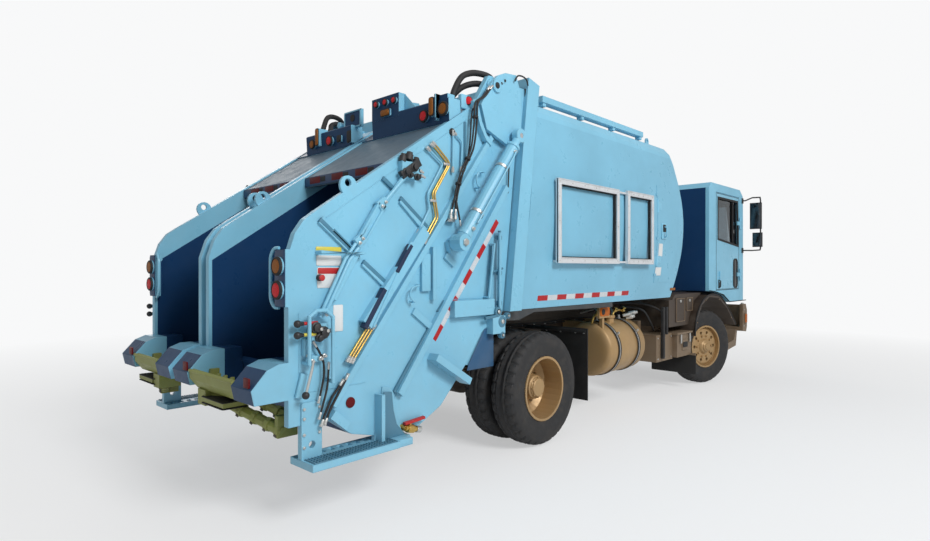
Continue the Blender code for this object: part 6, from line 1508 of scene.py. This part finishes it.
def chassis_side(name, sign):
    """What hangs on a rail: brake chamber, damper, U-bolts, air lines, tanks' and boxes' fittings, bolts."""
    black, zinc, bronze, gold, lamp, flap = (Form() for _ in range(6))
    rail = sign * 0.43
    for x in np.arange(-0.40, 5.3, 0.21):
        bolts(zinc, [(x, rail + sign * 0.0005, z) for z in (0.85, 1.01)], (0, sign, 0), 0.011, 0.010)
    for z, y_out in ((1.030, 0.018), (1.005, 0.020)):
        tube(black, [(x, rail + sign * (y_out + 0.004 * math.sin(x * 9)),
                      z - 0.008 * math.cos(x * 6)) for x in np.linspace(-0.3, 3.7, 50)], 0.008, 8)
    # brake chamber and damper at the rear axle, U-bolts on the spring
    turned(bronze, [(-0.09, 0.05), (-0.07, 0.075), (-0.005, 0.080), (0.0, 0.086), (0.012, 0.086),
                    (0.017, 0.080), (0.07, 0.070), (0.085, 0.040)], (-0.20, sign * 0.36, 0.62),
           (-1, 0, 0.1))
    tube(black, [(-0.42, sign * 0.50, 1.00), (-0.30, sign * 0.52, 0.72)], 0.033, 14)
    tube(zinc, [(-0.30, sign * 0.52, 0.72), (-0.16, sign * 0.54, 0.46)], 0.016, 12)
    for x in (-0.07, 0.07):
        tube(bronze, bent([(x, sign * 0.455, 0.42), (x, sign * 0.455, 0.72), (x, sign * 0.545, 0.72),
                           (x, sign * 0.545, 0.42)], 0.02), 0.009)
    if sign < 0:
        right_rail(black, zinc, bronze, gold, lamp, flap)
    else:
        left_rail(black, gold, lamp)
    bolts(zinc, [(0.703, sign * y, 0.985) for y in (0.72, 0.90, 1.08, 1.18)], (-1, 0, 0), 0.012, 0.008)
    heads = ((3.56, 0.90), (3.86, 1.195), (4.36, 1.185), (4.86, 0.89))
    bolts(bronze, [(x, sign * FENDER_OUT, z) for x, z in heads], (0, sign, 0), 0.010, 0.008)
    lip = [(3.49, 0.72), (3.53, 0.94), (3.71, 1.16), (3.99, 1.265), (4.37, 1.24), (4.71, 1.07), (5.07, 0.78)]
    tube(black, smooth_path([(x, sign * FENDER_OUT, z) for x, z in lip], 5), 0.010)
    pieces(name, "chassis", chassis_black=(black, HOSE), chassis_zinc=(zinc, ZINC),
           chassis_bronze=(bronze, BRONZE), tank_cap=(gold, GOLD))
    if flap.points:
        piece(f"front_flap_{name}", flap, "chassis", FLAP)
    piece(f"bracket_lamp_{name}", lamp, "chassis", ORANGE_LENS)


# Camera, light and floor

def put(name, data, place, aim):
    """Camera or lamp at a place, looking along aim."""
    made = bpy.data.objects.new(name, data)
    made.location = place
    made.rotation_mode = "QUATERNION"
    made.rotation_quaternion = aim.to_track_quat("-Z", "Y")
    bpy.context.scene.collection.objects.link(made)
    return made


def look():
    """Camera where the photograph's was, with its lens."""
    yaw = math.radians(CAMERA_YAW_DEG)
    pitch = math.radians(CAMERA_PITCH_DEG)
    aim = Vector((math.cos(yaw) * math.cos(pitch), math.sin(yaw) * math.cos(pitch), math.sin(pitch)))
    data = bpy.data.cameras.new("camera")
    data.sensor_width = 36.0
    data.lens = CAMERA_LENS
    data.clip_end = 200.0
    bpy.context.scene.camera = put("camera", data, Vector(CAMERA_AT) + Vector((AXLE_X, 0, 0)), aim)


def area_lamp(name, place, target, size, power):
    """Large soft lamp aimed at a point."""
    data = bpy.data.lights.new(name, "AREA")
    data.shape = "RECTANGLE"
    data.size, data.size_y = size
    data.energy = power
    put(name, data, place, Vector(target) - Vector(place))


def sky():
    """Pale world, weaker as light than it is seen."""
    world = bpy.data.worlds.new("studio")
    bpy.context.scene.world = world
    world.use_nodes = True
    nodes = Nodes(world.node_tree)
    back = nodes.tree.nodes["Background"]
    nodes.feed(back.inputs["Color"], HORIZON)
    nodes.feed(back.inputs["Strength"], nodes.span(nodes.seen_ray(), 0.0, 1.0, 0.36, 1.0))


def paper_floor():
    """Pale floor that fades with distance into the sky's white, and keeps the truck's shadow."""
    floor_mesh = bpy.data.meshes.new("floor")
    reach = 60.0
    floor_mesh.from_pydata([(-reach, -reach, 0), (reach, -reach, 0), (reach, reach, 0), (-reach, reach, 0)],
                           [], [(0, 1, 2, 3)])
    floor = bpy.data.objects.new("floor", floor_mesh)
    bpy.context.scene.collection.objects.link(floor)
    f = Finish("paper floor")
    f.set(Base_Color=rgb(0.88, 0.885, 0.89), Roughness=0.9)
    distance = f.add("VectorMath", {0: f.place}, operation="LENGTH").outputs["Value"]
    share = f.calc("MULTIPLY", f.seen_ray(), f.span(distance, 4.0, 12.0, 0.5, 1.0))
    bright = f.add("Emission", {"Color": HORIZON}).outputs[0]
    mixed = f.add("MixShader", {0: share, 1: f.shader.outputs[0], 2: bright}).outputs[0]
    f.feed(f.tree.nodes["Material Output"].inputs["Surface"], mixed)
    floor_mesh.materials.append(f.material)


def studio():
    """Pale floor and sky, a key lamp over the camera's right shoulder and two weak fills."""
    sky()
    area_lamp("key", (-3.2, -12.0, 9.3), (-1.4, 0.0, 1.5), (5.0, 4.0), 1360.0)
    area_lamp("rear fill", (-13.0, 1.0, 5.0), (-3.0, 0.0, 1.4), (6.0, 5.0), 35.0)
    area_lamp("left fill", (3.0, 12.0, 6.0), (0.5, 0.0, 1.4), (8.0, 5.0), 350.0)
    paper_floor()
    bpy.context.scene.view_settings.view_transform = "Standard"


def build():
    """Make everything, camera first."""
    look()
    studio()
    dress_nodes()
    wheels()
    body_skins()
    seats()
    for name, sign in SIDES:
        for part in (tailgate_pipes, tailgate_hoses, tailgate_valves, tailgate_links, tailgate_plates,
                     tailgate_metal, rear_lamps, beam_lamps, lifters, lift_cylinders, body_fittings,
                     cab_side, chassis_side):
            part(name, sign)
    hinge_hoses()
    cab_front()


build()
